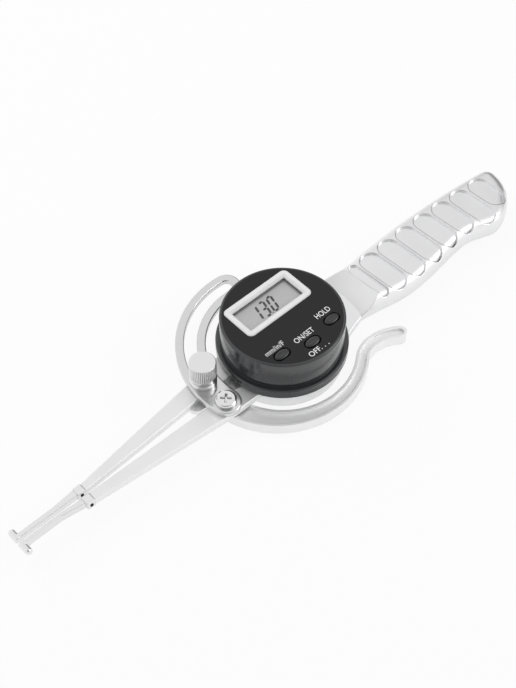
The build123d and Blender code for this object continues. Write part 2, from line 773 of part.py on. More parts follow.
# Trigger lever and its bronze bush
with BuildPart() as trigger_lever:
    with BuildSketch(Plane.XY.offset(trigger_bottom)):
        add(finger_bar(0, trigger_from))
    extrude(amount=jaw_bottom - trigger_bottom)
    with BuildSketch(Plane.XY.offset(jaw_bottom - channel_depth)):
        add(finger_bar(trigger_lip, channel_from))
    extrude(amount=channel_depth, mode=Mode.SUBTRACT)
    with BuildSketch(Plane.XY.offset(web_bottom)):
        with BuildLine(mode=Mode.PRIVATE):
            hull_hub = CenterArc((0, 0), web_hub_radius, 0, 360)
            hull_lobe = CenterArc(lobe_centre, lobe_radius, 0, 360)
            hull_pad = CenterArc(clamp_place, stud_pad_radius, 0, 360)
        make_hull([hull_hub, hull_lobe, hull_pad])
        Circle(hub_radius)
    extrude(amount=jaw_bottom - web_bottom)
    with Locations((0, 0, jaw_bottom)):
        Hole(bush_radius + press_clearance)
    with Locations((*clamp_place, jaw_bottom)):
        Hole(stud_radius + press_clearance)
    with Locations(*[(*place, jaw_bottom) for place in rivet_places]):
        Hole(rivet_radius + press_clearance)

finish(trigger_lever.part, "trigger_lever")

with BuildPart() as hub_bush:
    with BuildSketch(Plane.XY.offset(web_bottom)):
        Circle(bush_radius)
        Circle(bush_bore, mode=Mode.SUBTRACT)
    extrude(amount=jaw_top - web_bottom)

finish(hub_bush.part, "hub_bush")

# Angle encoder: carrier and rotor on the moving leg, stator board on the head base
with BuildPart() as rotor_carrier:
    with BuildSketch(Plane.XY.offset(jaw_top)):
        Circle(carrier_radius)
        Circle(carrier_bore, mode=Mode.SUBTRACT)
    extrude(amount=rotor_bottom - jaw_top)
    with BuildSketch(Plane.XY.offset(rotor_bottom)):
        Circle(carrier_bore + rotor_seat)
        Circle(carrier_bore, mode=Mode.SUBTRACT)
    extrude(amount=rotor_thickness)

finish(rotor_carrier.part, "rotor_carrier")

with BuildPart() as encoder_rotor:
    with BuildSketch(Plane.XY.offset(rotor_bottom)):
        Circle(rotor_radius)
        Circle(carrier_bore + rotor_seat + press_clearance, mode=Mode.SUBTRACT)
    extrude(amount=rotor_thickness)

finish(encoder_rotor.part, "encoder_rotor")

with BuildPart() as stator_board:
    with BuildSketch(Plane.XY.offset(stator_bottom)):
        Circle(board_radius)
        with Locations(*head_screw_places):
            Circle(board_notch, mode=Mode.SUBTRACT)
        with Locations(*pillar_places):
            Circle(small_screw_radius + press_clearance, mode=Mode.SUBTRACT)
    extrude(amount=board_thickness)

finish(stator_board.part, "stator_board")

with BuildPart() as stator_screws:
    with BuildSketch(Plane.XY.offset(stator_top)):
        with Locations(*pillar_places):
            Circle(small_screw_head)
    extrude(amount=small_screw_head_height)
    with BuildSketch(Plane.XY.offset(head_floor_top + slide_clearance)):
        with Locations(*pillar_places):
            Circle(small_screw_radius)
    extrude(amount=stator_top - head_floor_top - slide_clearance)

finish(stator_screws.part, "stator_screws")

with BuildPart() as sensor_chip:
    with BuildSketch(Plane.XY.offset(stator_top)):
        with Locations((sensor_chip_x, 0)):
            Rectangle(chip_side, chip_side)
    extrude(amount=chip_thickness)

finish(sensor_chip.part, "sensor_chip")

# Head base: flange, floor with the opening for the rotor carrier, screw bosses and pillars
with BuildPart() as head_base:
    with BuildSketch(Plane.XY.offset(leg_top)):
        Circle(flange_radius)
    extrude(amount=flange_height)
    chamfer(head_base.edges().group_by(Axis.Z)[-1], flange_chamfer)
    with BuildSketch(Plane.XY.offset(flange_top)):
        Circle(base_neck_radius)
    extrude(amount=neck_height)
    with BuildSketch(Plane.XY.offset(head_floor_top)):
        Circle(housing_bore)
    extrude(amount=housing_bottom - head_floor_top, mode=Mode.SUBTRACT)
    with BuildSketch(Plane.XY.offset(head_floor_top)):
        with Locations(*head_screw_places):
            Circle(head_boss_radius)
    extrude(amount=housing_bottom - head_floor_top)
    with BuildSketch(Plane.XY.offset(head_floor_top)):
        with Locations(*pillar_places):
            Circle(pillar_radius)
    extrude(amount=stator_bottom - head_floor_top)
    with BuildSketch(Plane.XY.offset(head_floor_top + slide_clearance)):
        with Locations(*pillar_places):
            Circle(small_screw_radius + press_clearance)
    extrude(amount=stator_bottom - head_floor_top, mode=Mode.SUBTRACT)
    with BuildSketch(Plane.XY.offset(leg_top)):
        Circle(carrier_radius + rotor_gap)
        with Locations(*head_screw_places):
            Circle(head_screw_radius + running_clearance)
    extrude(amount=housing_bottom - leg_top, mode=Mode.SUBTRACT)

finish(head_base.part, "head_base")

with BuildPart() as head_screws:
    with BuildSketch(Plane.XY.offset(floor_bottom + head_screw_recess)):
        with Locations(*head_screw_places):
            Circle(head_screw_head)
    extrude(amount=head_screw_head_height)
    with BuildSketch(Plane.XY.offset(floor_bottom + head_screw_recess)):
        with Locations(*head_screw_places):
            RegularPolygon(head_screw_radius, 6)
    extrude(amount=head_screw_head_height / 2, mode=Mode.SUBTRACT)
    with BuildSketch(Plane.XY.offset(floor_bottom + head_screw_recess + head_screw_head_height)):
        with Locations(*head_screw_places):
            Circle(head_screw_radius)
    extrude(amount=head_screw_end - floor_bottom - head_screw_recess - head_screw_head_height)

finish(head_screws.part, "head_screws")

# Head housing, with screw posts on its wall and small bosses under its lid
with BuildPart() as head_housing:
    with BuildSketch(Plane.XY.offset(housing_bottom)):
        Circle(cup_radius)
    extrude(amount=head_top - housing_bottom)
    fillet(head_housing.edges().group_by(Axis.Z)[-1], rim_round)
    with BuildSketch(Plane.XY.offset(face_bottom)):
        Circle(face_radius)
    extrude(amount=face_thickness, mode=Mode.SUBTRACT)
    with BuildSketch(Plane.XY.offset(housing_bottom)):
        Circle(housing_bore)
    extrude(amount=lid_bottom - housing_bottom, mode=Mode.SUBTRACT)
    with BuildSketch(Plane.XY.offset(housing_bottom)):
        with Locations(*head_screw_places):
            Circle(post_radius)
    extrude(amount=post_top - housing_bottom)
    with BuildSketch(Plane.XY.offset(housing_bottom)):
        with Locations(*head_screw_places):
            Circle(head_screw_radius + press_clearance)
    extrude(amount=head_screw_end + slide_clearance - housing_bottom, mode=Mode.SUBTRACT)
    with BuildSketch(Plane.XY.offset(main_top)):
        with Locations(*board_screw_places):
            Circle(board_boss_radius)
    extrude(amount=lid_bottom - main_top)
    with BuildSketch(Plane.XY.offset(main_top)):
        with Locations(*board_screw_places):
            Circle(small_screw_radius + press_clearance)
    extrude(amount=lid_bottom - main_top, mode=Mode.SUBTRACT)
    with BuildSketch(Plane.XY.offset(lid_bottom)):
        with Locations((0, display_y)):
            Rectangle(panel_length + 2 * running_clearance, panel_width + 2 * running_clearance)
        with Locations(*key_places.values()):
            SlotOverall(key_length + 2 * slide_clearance, key_width + 2 * slide_clearance)
    extrude(amount=lid_thickness, mode=Mode.SUBTRACT)
    with BuildSketch(Plane.XY.offset(holder_floor_top)):
        with Locations((cup_radius, 0)):
            Rectangle(2 * (cup_radius - holder_end), 2 * (tray_half + slide_clearance))
    extrude(amount=tray_top - tray_bottom + 2 * slide_clearance, mode=Mode.SUBTRACT)

finish(head_housing.part, "head_housing")

# Main board and what it carries
with BuildPart() as main_board:
    with BuildSketch(Plane.XY.offset(main_bottom)):
        Circle(board_radius)
        with Locations(*head_screw_places):
            Circle(board_notch, mode=Mode.SUBTRACT)
        with Locations(*board_screw_places):
            Circle(small_screw_radius + press_clearance, mode=Mode.SUBTRACT)
    extrude(amount=board_thickness)

finish(main_board.part, "main_board")

with BuildPart() as board_screws:
    with BuildSketch(Plane.XY.offset(main_bottom - small_screw_head_height)):
        with Locations(*board_screw_places):
            Circle(small_screw_head)
    extrude(amount=small_screw_head_height)
    with BuildSketch(Plane.XY.offset(main_bottom)):
        with Locations(*board_screw_places):
            Circle(small_screw_radius)
    extrude(amount=lid_bottom - slide_clearance - main_bottom)

finish(board_screws.part, "board_screws")

with BuildPart() as display_chip:
    with BuildSketch(Plane.XY.offset(main_bottom - chip_thickness)):
        with Locations(display_chip_place):
            Rectangle(chip_side, chip_side)
    extrude(amount=chip_thickness)

finish(display_chip.part, "display_chip")

with BuildPart() as key_switches:
    with BuildSketch(Plane.XY.offset(main_top)):
        with Locations(*key_places.values()):
            Rectangle(switch_size, switch_size)
    extrude(amount=switch_height)

finish(key_switches.part, "key_switches")

with BuildPart() as zebra_strips:
    with BuildSketch(Plane.XY.offset(main_top)):
        with Locations((0, display_y)):
            with GridLocations(0, panel_width - 2 * zebra_inset, 1, 2):
                Rectangle(window_length, zebra_width)
    extrude(amount=zebra_height)

finish(zebra_strips.part, "zebra_strips")

with BuildPart() as lcd_panel:
    with BuildSketch(Plane.XY.offset(panel_bottom)):
        with Locations((0, display_y)):
            Rectangle(panel_length, panel_width)
    extrude(amount=panel_thickness)

finish(lcd_panel.part, "lcd_panel")

with BuildPart() as lcd_window:
    with BuildSketch(Plane.XY.offset(panel_top)):
        with Locations((0, display_y)):
            Rectangle(panel_length, panel_width)
    extrude(amount=window_thickness)

finish(lcd_window.part, "lcd_window")

with BuildPart() as lcd_bezel:
    with BuildSketch(Plane.XY.offset(face_bottom)):
        with Locations((0, display_y)):
            RectangleRounded(bezel_length, bezel_width, bezel_corner)
    extrude(amount=bezel_height)
    chamfer(lcd_bezel.edges().group_by(Axis.Z)[-1], bezel_bevel / 2)
    with BuildSketch(Plane.XY.offset(face_bottom)):
        with Locations((0, display_y)):
            Rectangle(window_length, window_width)
    extrude(amount=bezel_height, mode=Mode.SUBTRACT)
    chamfer(lcd_bezel.faces().sort_by(Axis.Z)[-1].inner_wires().edges(), bezel_bevel)

finish(lcd_bezel.part, "lcd_bezel")

with BuildPart() as face_plate:
    with BuildSketch(Plane.XY.offset(face_bottom)):
        Circle(face_radius - press_clearance)
        with Locations((0, display_y)):
            RectangleRounded(bezel_length + 2 * running_clearance, bezel_width + 2 * running_clearance,
                             bezel_corner + running_clearance, mode=Mode.SUBTRACT)
        with Locations(*key_places.values()):
            SlotOverall(key_length + 2 * slide_clearance, key_width + 2 * slide_clearance,
                        mode=Mode.SUBTRACT)
    extrude(amount=face_thickness)

finish(face_plate.part, "face_plate")

# Keys, each an oval cap on a wider flange that stays under the lid
for key_name, place in key_places.items():
    with BuildPart() as key:
        with BuildSketch(Plane.XY.offset(key_flange_bottom)):
            with Locations(place):
                SlotOverall(key_length + 2 * key_flange, key_width + 2 * key_flange)
        extrude(amount=key_flange_thickness)
        with BuildSketch(Plane.XY.offset(key_flange_top)):
            with Locations(place):
                SlotOverall(key_length, key_width)
        extrude(amount=head_top + key_proud - key_flange_top)
        fillet(key.edges().group_by(Axis.Z)[-1], key_round)
    finish(key.part, key_name)

# Battery holder under the main board, its two contact leaves, and the drawer with the coin cell
with BuildPart() as battery_holder:
    holder_back = tray_back - slide_clearance - holder_wall
    with BuildSketch(Plane.XY.offset(holder_bottom)):
        with Locations(((holder_back + holder_end) / 2, 0)):
            Rectangle(holder_end - holder_back, 2 * holder_half)
    extrude(amount=main_bottom - holder_bottom)
    with BuildSketch(Plane.XY.offset(holder_floor_top)):
        with Locations(((tray_back - slide_clearance + holder_end + 1) / 2, 0)):
            Rectangle(holder_end + 1 - tray_back + slide_clearance, 2 * (tray_half + slide_clearance))
    extrude(amount=main_bottom - holder_floor_top, mode=Mode.SUBTRACT)

finish(battery_holder.part, "battery_holder")

with BuildPart() as battery_contacts:
    upper_tip = cell_top + slide_clearance
    lower_tip = cell_bottom - slide_clearance
    with BuildSketch(Plane.XZ):
        with BuildLine():
            Polyline((cell_x - 7, main_bottom), (cell_x - 3, main_bottom),
                     (cell_x, upper_tip + contact_leaf), (cell_x + 2, upper_tip + 2 * contact_leaf),
                     (cell_x + 2, upper_tip + contact_leaf),
                     (cell_x, upper_tip), (cell_x - 3.2, main_bottom - contact_leaf),
                     (cell_x - 7, main_bottom - contact_leaf), close=True)
        make_face()
        with BuildLine():
            Polyline((tray_back + 1, holder_floor_top), (tray_back + 5, holder_floor_top),
                     (cell_x - 3, lower_tip - contact_leaf), (cell_x - 1, lower_tip - contact_leaf),
                     (cell_x - 1, lower_tip), (cell_x - 3.2, lower_tip),
                     (tray_back + 4.8, holder_floor_top + contact_leaf),
                     (tray_back + 1, holder_floor_top + contact_leaf), close=True)
        make_face()
    extrude(amount=contact_half, both=True)

finish(battery_contacts.part, "battery_contacts")

with BuildPart() as battery_tray:
    with BuildSketch(Plane.XY.offset(tray_bottom)):
        with Locations(((tray_back + cup_radius) / 2, 0)):
            Rectangle(cup_radius - tray_back, 2 * tray_half)
        Circle(cup_radius, mode=Mode.INTERSECT)
    extrude(amount=tray_top - tray_bottom)
    with BuildSketch(Plane.XY.offset(cell_bottom)):
        with Locations((cell_x, 0)):
            Circle(cell_radius + slide_clearance)
    extrude(amount=cell_thickness, mode=Mode.SUBTRACT)
    with BuildSketch(Plane.XY.offset(tray_bottom)):
        with Locations(((tray_back + cell_x) / 2, 0)):
            Rectangle(cell_x - tray_back, 2 * tray_notch_half)
    extrude(amount=tray_top - tray_bottom, mode=Mode.SUBTRACT)
    with Locations((cup_radius, 0, (tray_bottom + tray_top) / 2)):
        Box(2 * coin_slot[2], coin_slot[0], coin_slot[1], mode=Mode.SUBTRACT)

finish(battery_tray.part, "battery_tray")

with BuildPart() as coin_cell:
    with BuildSketch(Plane.XY.offset(cell_bottom)):
        with Locations((cell_x, 0)):
            Circle(cell_radius)
    extrude(amount=cell_thickness)
    fillet(coin_cell.edges().group_by(Axis.Z)[0], tray_floor / 2)

finish(coin_cell.part, "coin_cell")
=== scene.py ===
"""Looks of a digital inside caliper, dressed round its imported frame.

The classes hold their sizes in millimetres, in the frame's own axes: +X runs towards the grip, +Y to
the arc plate, +Z up to the display.
"""

import functools
import logging
import math
from dataclasses import dataclass
from enum import Enum
from typing import Any, ClassVar, Sequence

import bpy
import numpy as np
from bpy.types import Material, Mesh, Node, NodeSocket, NodeTree, Object
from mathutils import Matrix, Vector


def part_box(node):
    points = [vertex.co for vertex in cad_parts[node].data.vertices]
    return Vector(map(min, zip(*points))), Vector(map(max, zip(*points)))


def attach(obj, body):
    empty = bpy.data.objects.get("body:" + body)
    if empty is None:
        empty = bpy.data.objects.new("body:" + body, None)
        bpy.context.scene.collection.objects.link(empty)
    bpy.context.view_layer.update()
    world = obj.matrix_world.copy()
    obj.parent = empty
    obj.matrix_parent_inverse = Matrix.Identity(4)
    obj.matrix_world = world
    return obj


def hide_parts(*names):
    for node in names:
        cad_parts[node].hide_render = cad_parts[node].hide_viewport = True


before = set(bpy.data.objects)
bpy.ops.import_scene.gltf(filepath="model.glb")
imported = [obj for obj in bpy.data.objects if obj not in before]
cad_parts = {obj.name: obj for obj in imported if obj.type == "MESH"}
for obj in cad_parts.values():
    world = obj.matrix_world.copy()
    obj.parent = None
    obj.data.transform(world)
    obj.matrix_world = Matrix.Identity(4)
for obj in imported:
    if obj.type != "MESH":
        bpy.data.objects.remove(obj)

LOG = logging.getLogger("caliper")
MM = 0.001
WHITE = (1.0, 1.0, 1.0, 1.0)
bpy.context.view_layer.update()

Solid = tuple[np.ndarray, list[list[int]]]
Pairs = tuple[tuple[float, float], ...]

# Rays for each eased edge and for each hollow's painted shade
EDGE_RAYS = 8


def linear(hex_colour: str, level: float = 1.0) -> tuple[float, float, float, float]:
    """Turn an sRGB hex colour to linear light.

    Args:
        hex_colour: six hex digits after a hash mark.
        level: a factor on the linear light.

    Returns:
        Linear red, green, blue and an alpha of 1.
    """
    parts = [int(hex_colour[i:i + 2], 16) / 255 for i in (1, 3, 5)]
    light = [level * (c / 12.92 if c <= 0.04045 else ((c + 0.055) / 1.055) ** 2.4) for c in parts]
    red, green, blue = (min(share, 1.0) for share in light)
    return red, green, blue, 1.0


def add_node(tree: NodeTree, kind: str, settings: dict[str, Any] | None = None, **inputs: Any) -> Node:
    """Add a shader node with its settings and its inputs.

    Args:
        tree: the node tree of a material or of the world.
        kind: the node's type name.
        settings: attributes of the node itself.
        inputs: a value for each input, or an output socket to link, or a node whose first output
            is linked. Underscores stand for spaces, and input_1 means the input at that place.

    Returns:
        The new node.
    """
    node = tree.nodes.new(kind)
    for key, value in (settings or {}).items():
        setattr(node, key, value)
    for key, value in inputs.items():
        socket = node.inputs[int(key[6:])] if key.startswith("input_") else node.inputs[key.replace("_", " ")]
        if isinstance(value, (Node, NodeSocket)):
            tree.links.new(value if isinstance(value, NodeSocket) else value.outputs[0], socket)
        else:
            socket.default_value = value
    return node


def two_tones(tree: NodeTree, place: NodeSocket, colour: str, spread: float, patch: float) -> NodeSocket:
    """Let a colour drift a little from patch to patch, as plated and handled surfaces do.

    Args:
        tree: the material's node tree.
        place: the coordinates.
        colour: the middle colour, in hex.
        spread: how far the light goes below and above the middle, as a share.
        patch: the size of a patch, in millimetres.

    Returns:
        The socket of the drifting colour.
    """
    cloud = add_node(tree, "ShaderNodeTexNoise", Vector=place, Scale=1 / (patch * MM), Detail=3.0)
    drift = add_node(tree, "ShaderNodeMix", {"data_type": "RGBA"}, Factor=cloud.outputs["Fac"],
                     input_6=linear(colour, 1 - spread), input_7=linear(colour, 1 + spread))
    return drift.outputs[2]


@dataclass(frozen=True)
class Finish:
    """What a surface is made of."""

    name: str

    @functools.cache
    def build(self) -> Material:
        """Make the material round the finish's own shader, once for each finish."""
        material = bpy.data.materials.new(self.name)
        material.use_nodes = True
        tree = material.node_tree
        tree.nodes.clear()
        place = add_node(tree, "ShaderNodeTexCoord").outputs["Object"]
        add_node(tree, "ShaderNodeOutputMaterial", Surface=self.shader(tree, place))
        return material

    def dress(self, obj: Object) -> None:
        """Give an object this finish in every slot."""
        if not obj.data.materials:
            obj.data.materials.append(None)
        for place in range(len(obj.data.materials)):
            obj.data.materials[place] = self.build()

    def shader(self, tree: NodeTree, place: NodeSocket) -> Node:
        """Add the finish's own nodes.

        Args:
            tree: the material's node tree.
            place: the coordinates in the object's own frame.

        Returns:
            The last node, a shader for the whole surface.
        """
        raise NotImplementedError


class Lay(Enum):
    """How a metal surface was made, which decides the pattern of its marks."""

    CAST = "cast"
    GROUND = "ground"
    TURNED = "turned"


@dataclass(frozen=True)
class MetalFinish(Finish):
    """A bare or plated metal, whose marks come from how it was made."""

    LINE_STRETCH: ClassVar[float] = 0.03
    RING_GRAINS: ClassVar[float] = 3.0
    GLOSS_SPREAD: ClassVar[float] = 0.2
    PATCH: ClassVar[float] = 14.0

    colour: str
    roughness: float
    lay: Lay
    grain: float = 0.2
    relief: float = 0.003
    ease: float = 0.25
    centre: tuple[float, float] = (0.0, 0.0)
    drift: float = 0.04
    # How far the painted shade reaches into hollows, in millimetres, where an ambient occlusion mask darkens
    # the colour; none at 0
    painted_shade_reach: float = 0.0

    def shader(self, tree: NodeTree, place: NodeSocket) -> Node:
        """Add the nodes of the metal.

        Returns:
            A metal with marks at the size of its grain: round pits when cast, long lines along X when
            ground, rings about the centre when turned. Its edges are eased, and in hollows narrower than
            the painted shade reach an ambient occlusion mask darkens the colour as painted shade.
        """
        centred = add_node(tree, "ShaderNodeMapping", Vector=place,
                           Location=(-self.centre[0] * MM, -self.centre[1] * MM, 0.0))
        size = self.grain * MM
        if self.lay is Lay.TURNED:
            marks = add_node(tree, "ShaderNodeTexWave", {"wave_type": "RINGS", "rings_direction": "Z"},
                             Vector=centred, Scale=1 / (size * self.RING_GRAINS), Distortion=0.4)
        else:
            along = self.LINE_STRETCH if self.lay is Lay.GROUND else 1.0
            scaled = add_node(tree, "ShaderNodeMapping", Vector=centred,
                              Scale=(along / size, 1 / size, 1 / size))
            marks = add_node(tree, "ShaderNodeTexNoise", Vector=scaled, Scale=1.0, Detail=4.0, Roughness=0.6)
        height = marks.outputs["Fac"]
        spread = self.roughness * self.GLOSS_SPREAD
        rough = add_node(tree, "ShaderNodeMapRange", Value=height, To_Min=self.roughness - spread,
                         To_Max=self.roughness + spread)
        eased = add_node(tree, "ShaderNodeBevel", {"samples": EDGE_RAYS}, Radius=self.ease * MM)
        bump = add_node(tree, "ShaderNodeBump", Strength=0.6, Distance=self.relief * MM, Height=height,
                        Normal=eased)
        colour = two_tones(tree, place, self.colour, self.drift, self.PATCH)
        # Painted shade: the colour is darkened by the squared ambient occlusion share in narrow hollows
        if self.painted_shade_reach:
            open_share = add_node(tree, "ShaderNodeAmbientOcclusion", {"samples": EDGE_RAYS},
                                  Distance=self.painted_shade_reach * MM).outputs["AO"]
            kept = add_node(tree, "ShaderNodeMath", {"operation": "POWER"}, input_0=open_share, input_1=2.0)
            colour = add_node(tree, "ShaderNodeMix", {"data_type": "RGBA", "blend_type": "MULTIPLY"},
                              Factor=1.0, input_6=colour, input_7=kept).outputs[2]
        return add_node(tree, "ShaderNodeBsdfPrincipled", Metallic=1.0, Roughness=rough, Base_Color=colour,
                        Normal=bump)


@dataclass(frozen=True)
class PlasticFinish(Finish):
    """A moulded or printed plastic with a fine stipple from its mould."""

    GLOSS_SPREAD: ClassVar[float] = 0.15
    COLOUR_SPREAD: ClassVar[float] = 0.08
    PATCH: ClassVar[float] = 9.0
    COAT_ROUGHNESS: ClassVar[float] = 0.08

    colour: str
    roughness: float
    grain: float = 0.3
    relief: float = 0.002
    ease: float = 0.15
    coat: float = 0.0
    ior: float = 1.5

    def shader(self, tree: NodeTree, place: NodeSocket) -> Node:
        """Add the nodes of the plastic.

        Returns:
            A plastic with a stipple in its relief and gloss, eased edges, and a clear skin over it
            where its mould was polished.
        """
        stipple = add_node(tree, "ShaderNodeTexNoise", Vector=place, Scale=1 / (self.grain * MM),
                           Detail=3.0).outputs["Fac"]
        spread = self.roughness * self.GLOSS_SPREAD
        rough = add_node(tree, "ShaderNodeMapRange", Value=stipple, To_Min=self.roughness - spread,
                         To_Max=self.roughness + spread)
        eased = add_node(tree, "ShaderNodeBevel", {"samples": EDGE_RAYS}, Radius=self.ease * MM)
        bump = add_node(tree, "ShaderNodeBump", Strength=0.5, Distance=self.relief * MM, Height=stipple,
                        Normal=eased)
        return add_node(tree, "ShaderNodeBsdfPrincipled", Roughness=rough, IOR=self.ior,
                        Base_Color=two_tones(tree, place, self.colour, self.COLOUR_SPREAD, self.PATCH),
                        Normal=bump, Coat_Weight=self.coat, Coat_Roughness=self.COAT_ROUGHNESS)


@dataclass(frozen=True)
class BoardFinish(Finish):
    """Glass-epoxy circuit board under solder mask, with its copper tracks showing through."""

    ROW_HEIGHT: ClassVar[float] = 0.25
    LANE_WIDTH: ClassVar[float] = 0.03

    mask: str
    copper: str
    track_pitch: float = 1.3

    def shader(self, tree: NodeTree, place: NodeSocket) -> Node:
        """Add the nodes of the board.

        Returns:
            A satin board, lighter over its tracks, which run as a net of straight lanes.
        """
        lanes = add_node(tree, "ShaderNodeTexBrick", {"offset": 0.35, "squash": 0.7}, Vector=place,
                         Scale=self.ROW_HEIGHT / (self.track_pitch * MM), Mortar_Size=self.LANE_WIDTH,
                         Color1=linear(self.mask), Color2=linear(self.mask, 0.9), Mortar=linear(self.copper))
        bump = add_node(tree, "ShaderNodeBump", Strength=0.4, Distance=0.03 * MM, Height=lanes.outputs["Fac"])
        return add_node(tree, "ShaderNodeBsdfPrincipled", Base_Color=lanes.outputs["Color"], Roughness=0.35,
                        Normal=bump)


@dataclass(frozen=True)
class DisplayFilmFinish(Finish):
    """The grey reflector film of a liquid crystal display, with painted shade along its window's edges where
    the frame would shade it.
    """

    colour: str
    # Colour and width of the painted shade along the window's edges
    painted_shade_colour: str
    centre: tuple[float, float]
    size: tuple[float, float]
    painted_shade_width: float = 1.1
    grain: float = 0.2

    def shader(self, tree: NodeTree, place: NodeSocket) -> Node:
        """Add the nodes of the film.

        Returns:
            A matt grey, mixed to the painted shade colour within the painted shade width of the nearest
            window edge.
        """
        moved = add_node(tree, "ShaderNodeMapping", Vector=place,
                         Location=(-self.centre[0] * MM, -self.centre[1] * MM, 0.0))
        split = add_node(tree, "ShaderNodeSeparateXYZ", Vector=moved)
        gaps = []
        for axis, length in enumerate(self.size):
            side = add_node(tree, "ShaderNodeMath", {"operation": "ABSOLUTE"}, input_0=split.outputs[axis])
            gaps.append(add_node(tree, "ShaderNodeMath", {"operation": "SUBTRACT"}, input_0=length / 2 * MM,
                                 input_1=side))
        nearest = add_node(tree, "ShaderNodeMath", {"operation": "MINIMUM"}, input_0=gaps[0], input_1=gaps[1])
        # Painted shade: darker towards the window's edges, standing for the frame's shadow
        inward = add_node(tree, "ShaderNodeMapRange", {"interpolation_type": "SMOOTHSTEP"}, Value=nearest,
                          From_Max=self.painted_shade_width * MM)
        tone = add_node(tree, "ShaderNodeMix", {"data_type": "RGBA"}, Factor=inward,
                        input_6=linear(self.painted_shade_colour), input_7=linear(self.colour)).outputs[2]
        grain = add_node(tree, "ShaderNodeTexNoise", Vector=place, Scale=1 / (self.grain * MM), Detail=2.0)
        bump = add_node(tree, "ShaderNodeBump", Strength=0.2, Distance=0.01 * MM, Height=grain.outputs["Fac"])
        return add_node(tree, "ShaderNodeBsdfPrincipled", Base_Color=tone, Roughness=0.6, Normal=bump)


@dataclass(frozen=True)
class WindowFinish(Finish):
    """Clear acrylic, which lets light straight through and reflects a little at a slant."""

    tint: str = "#FCFCFC"
    roughness: float = 0.05
    ior: float = 1.49
    ripple: float = 6.0

    def shader(self, tree: NodeTree, place: NodeSocket) -> Node:
        """Add the nodes of the acrylic.

        Returns:
            A see-through surface with a gloss that grows with the slant of the view, as Fresnel gives. The
            gloss stays off where light leaves the window, since the light goes through unbent.
        """
        ripple = add_node(tree, "ShaderNodeTexNoise", Vector=place,
                          Scale=1 / (self.ripple * MM)).outputs["Fac"]
        bump = add_node(tree, "ShaderNodeBump", Strength=0.1, Distance=0.02 * MM, Height=ripple)
        slant = add_node(tree, "ShaderNodeFresnel", IOR=self.ior, Normal=bump)
        leaving = add_node(tree, "ShaderNodeNewGeometry").outputs["Backfacing"]
        share = add_node(tree, "ShaderNodeMath", {"operation": "SUBTRACT", "use_clamp": True}, input_0=slant,
                         input_1=leaving)
        clear = add_node(tree, "ShaderNodeBsdfTransparent", Color=linear(self.tint))
        gloss = add_node(tree, "ShaderNodeBsdfGlossy", Roughness=self.roughness, Normal=bump)
        return add_node(tree, "ShaderNodeMixShader", input_0=share, input_1=clear, input_2=gloss)


@dataclass(frozen=True)
class TableFinish(Finish):
    """The studio's white table, much of whose light is its own to the camera and in reflections."""

    colour: str = "#F8F8F8"
    seen_glow: float = 0.88
    mirrored_glow: float = 0.65

    def shader(self, tree: NodeTree, place: NodeSocket) -> Node:
        """Add the nodes of the table.

        Returns:
            A matt white, mixed with plain white light by the share for each kind of ray.
        """
        path = add_node(tree, "ShaderNodeLightPath")
        seen = add_node(tree, "ShaderNodeMath", {"operation": "MULTIPLY"},
                        input_0=path.outputs["Is Camera Ray"], input_1=self.seen_glow)
        share = add_node(tree, "ShaderNodeMath", {"operation": "MULTIPLY_ADD"},
                         input_0=path.outputs["Is Glossy Ray"], input_1=self.mirrored_glow, input_2=seen)
        white = add_node(tree, "ShaderNodeEmission", Color=WHITE, Strength=1.0)
        matt = add_node(tree, "ShaderNodeBsdfDiffuse", Color=linear(self.colour))
        return add_node(tree, "ShaderNodeMixShader", input_0=share, input_1=matt, input_2=white)


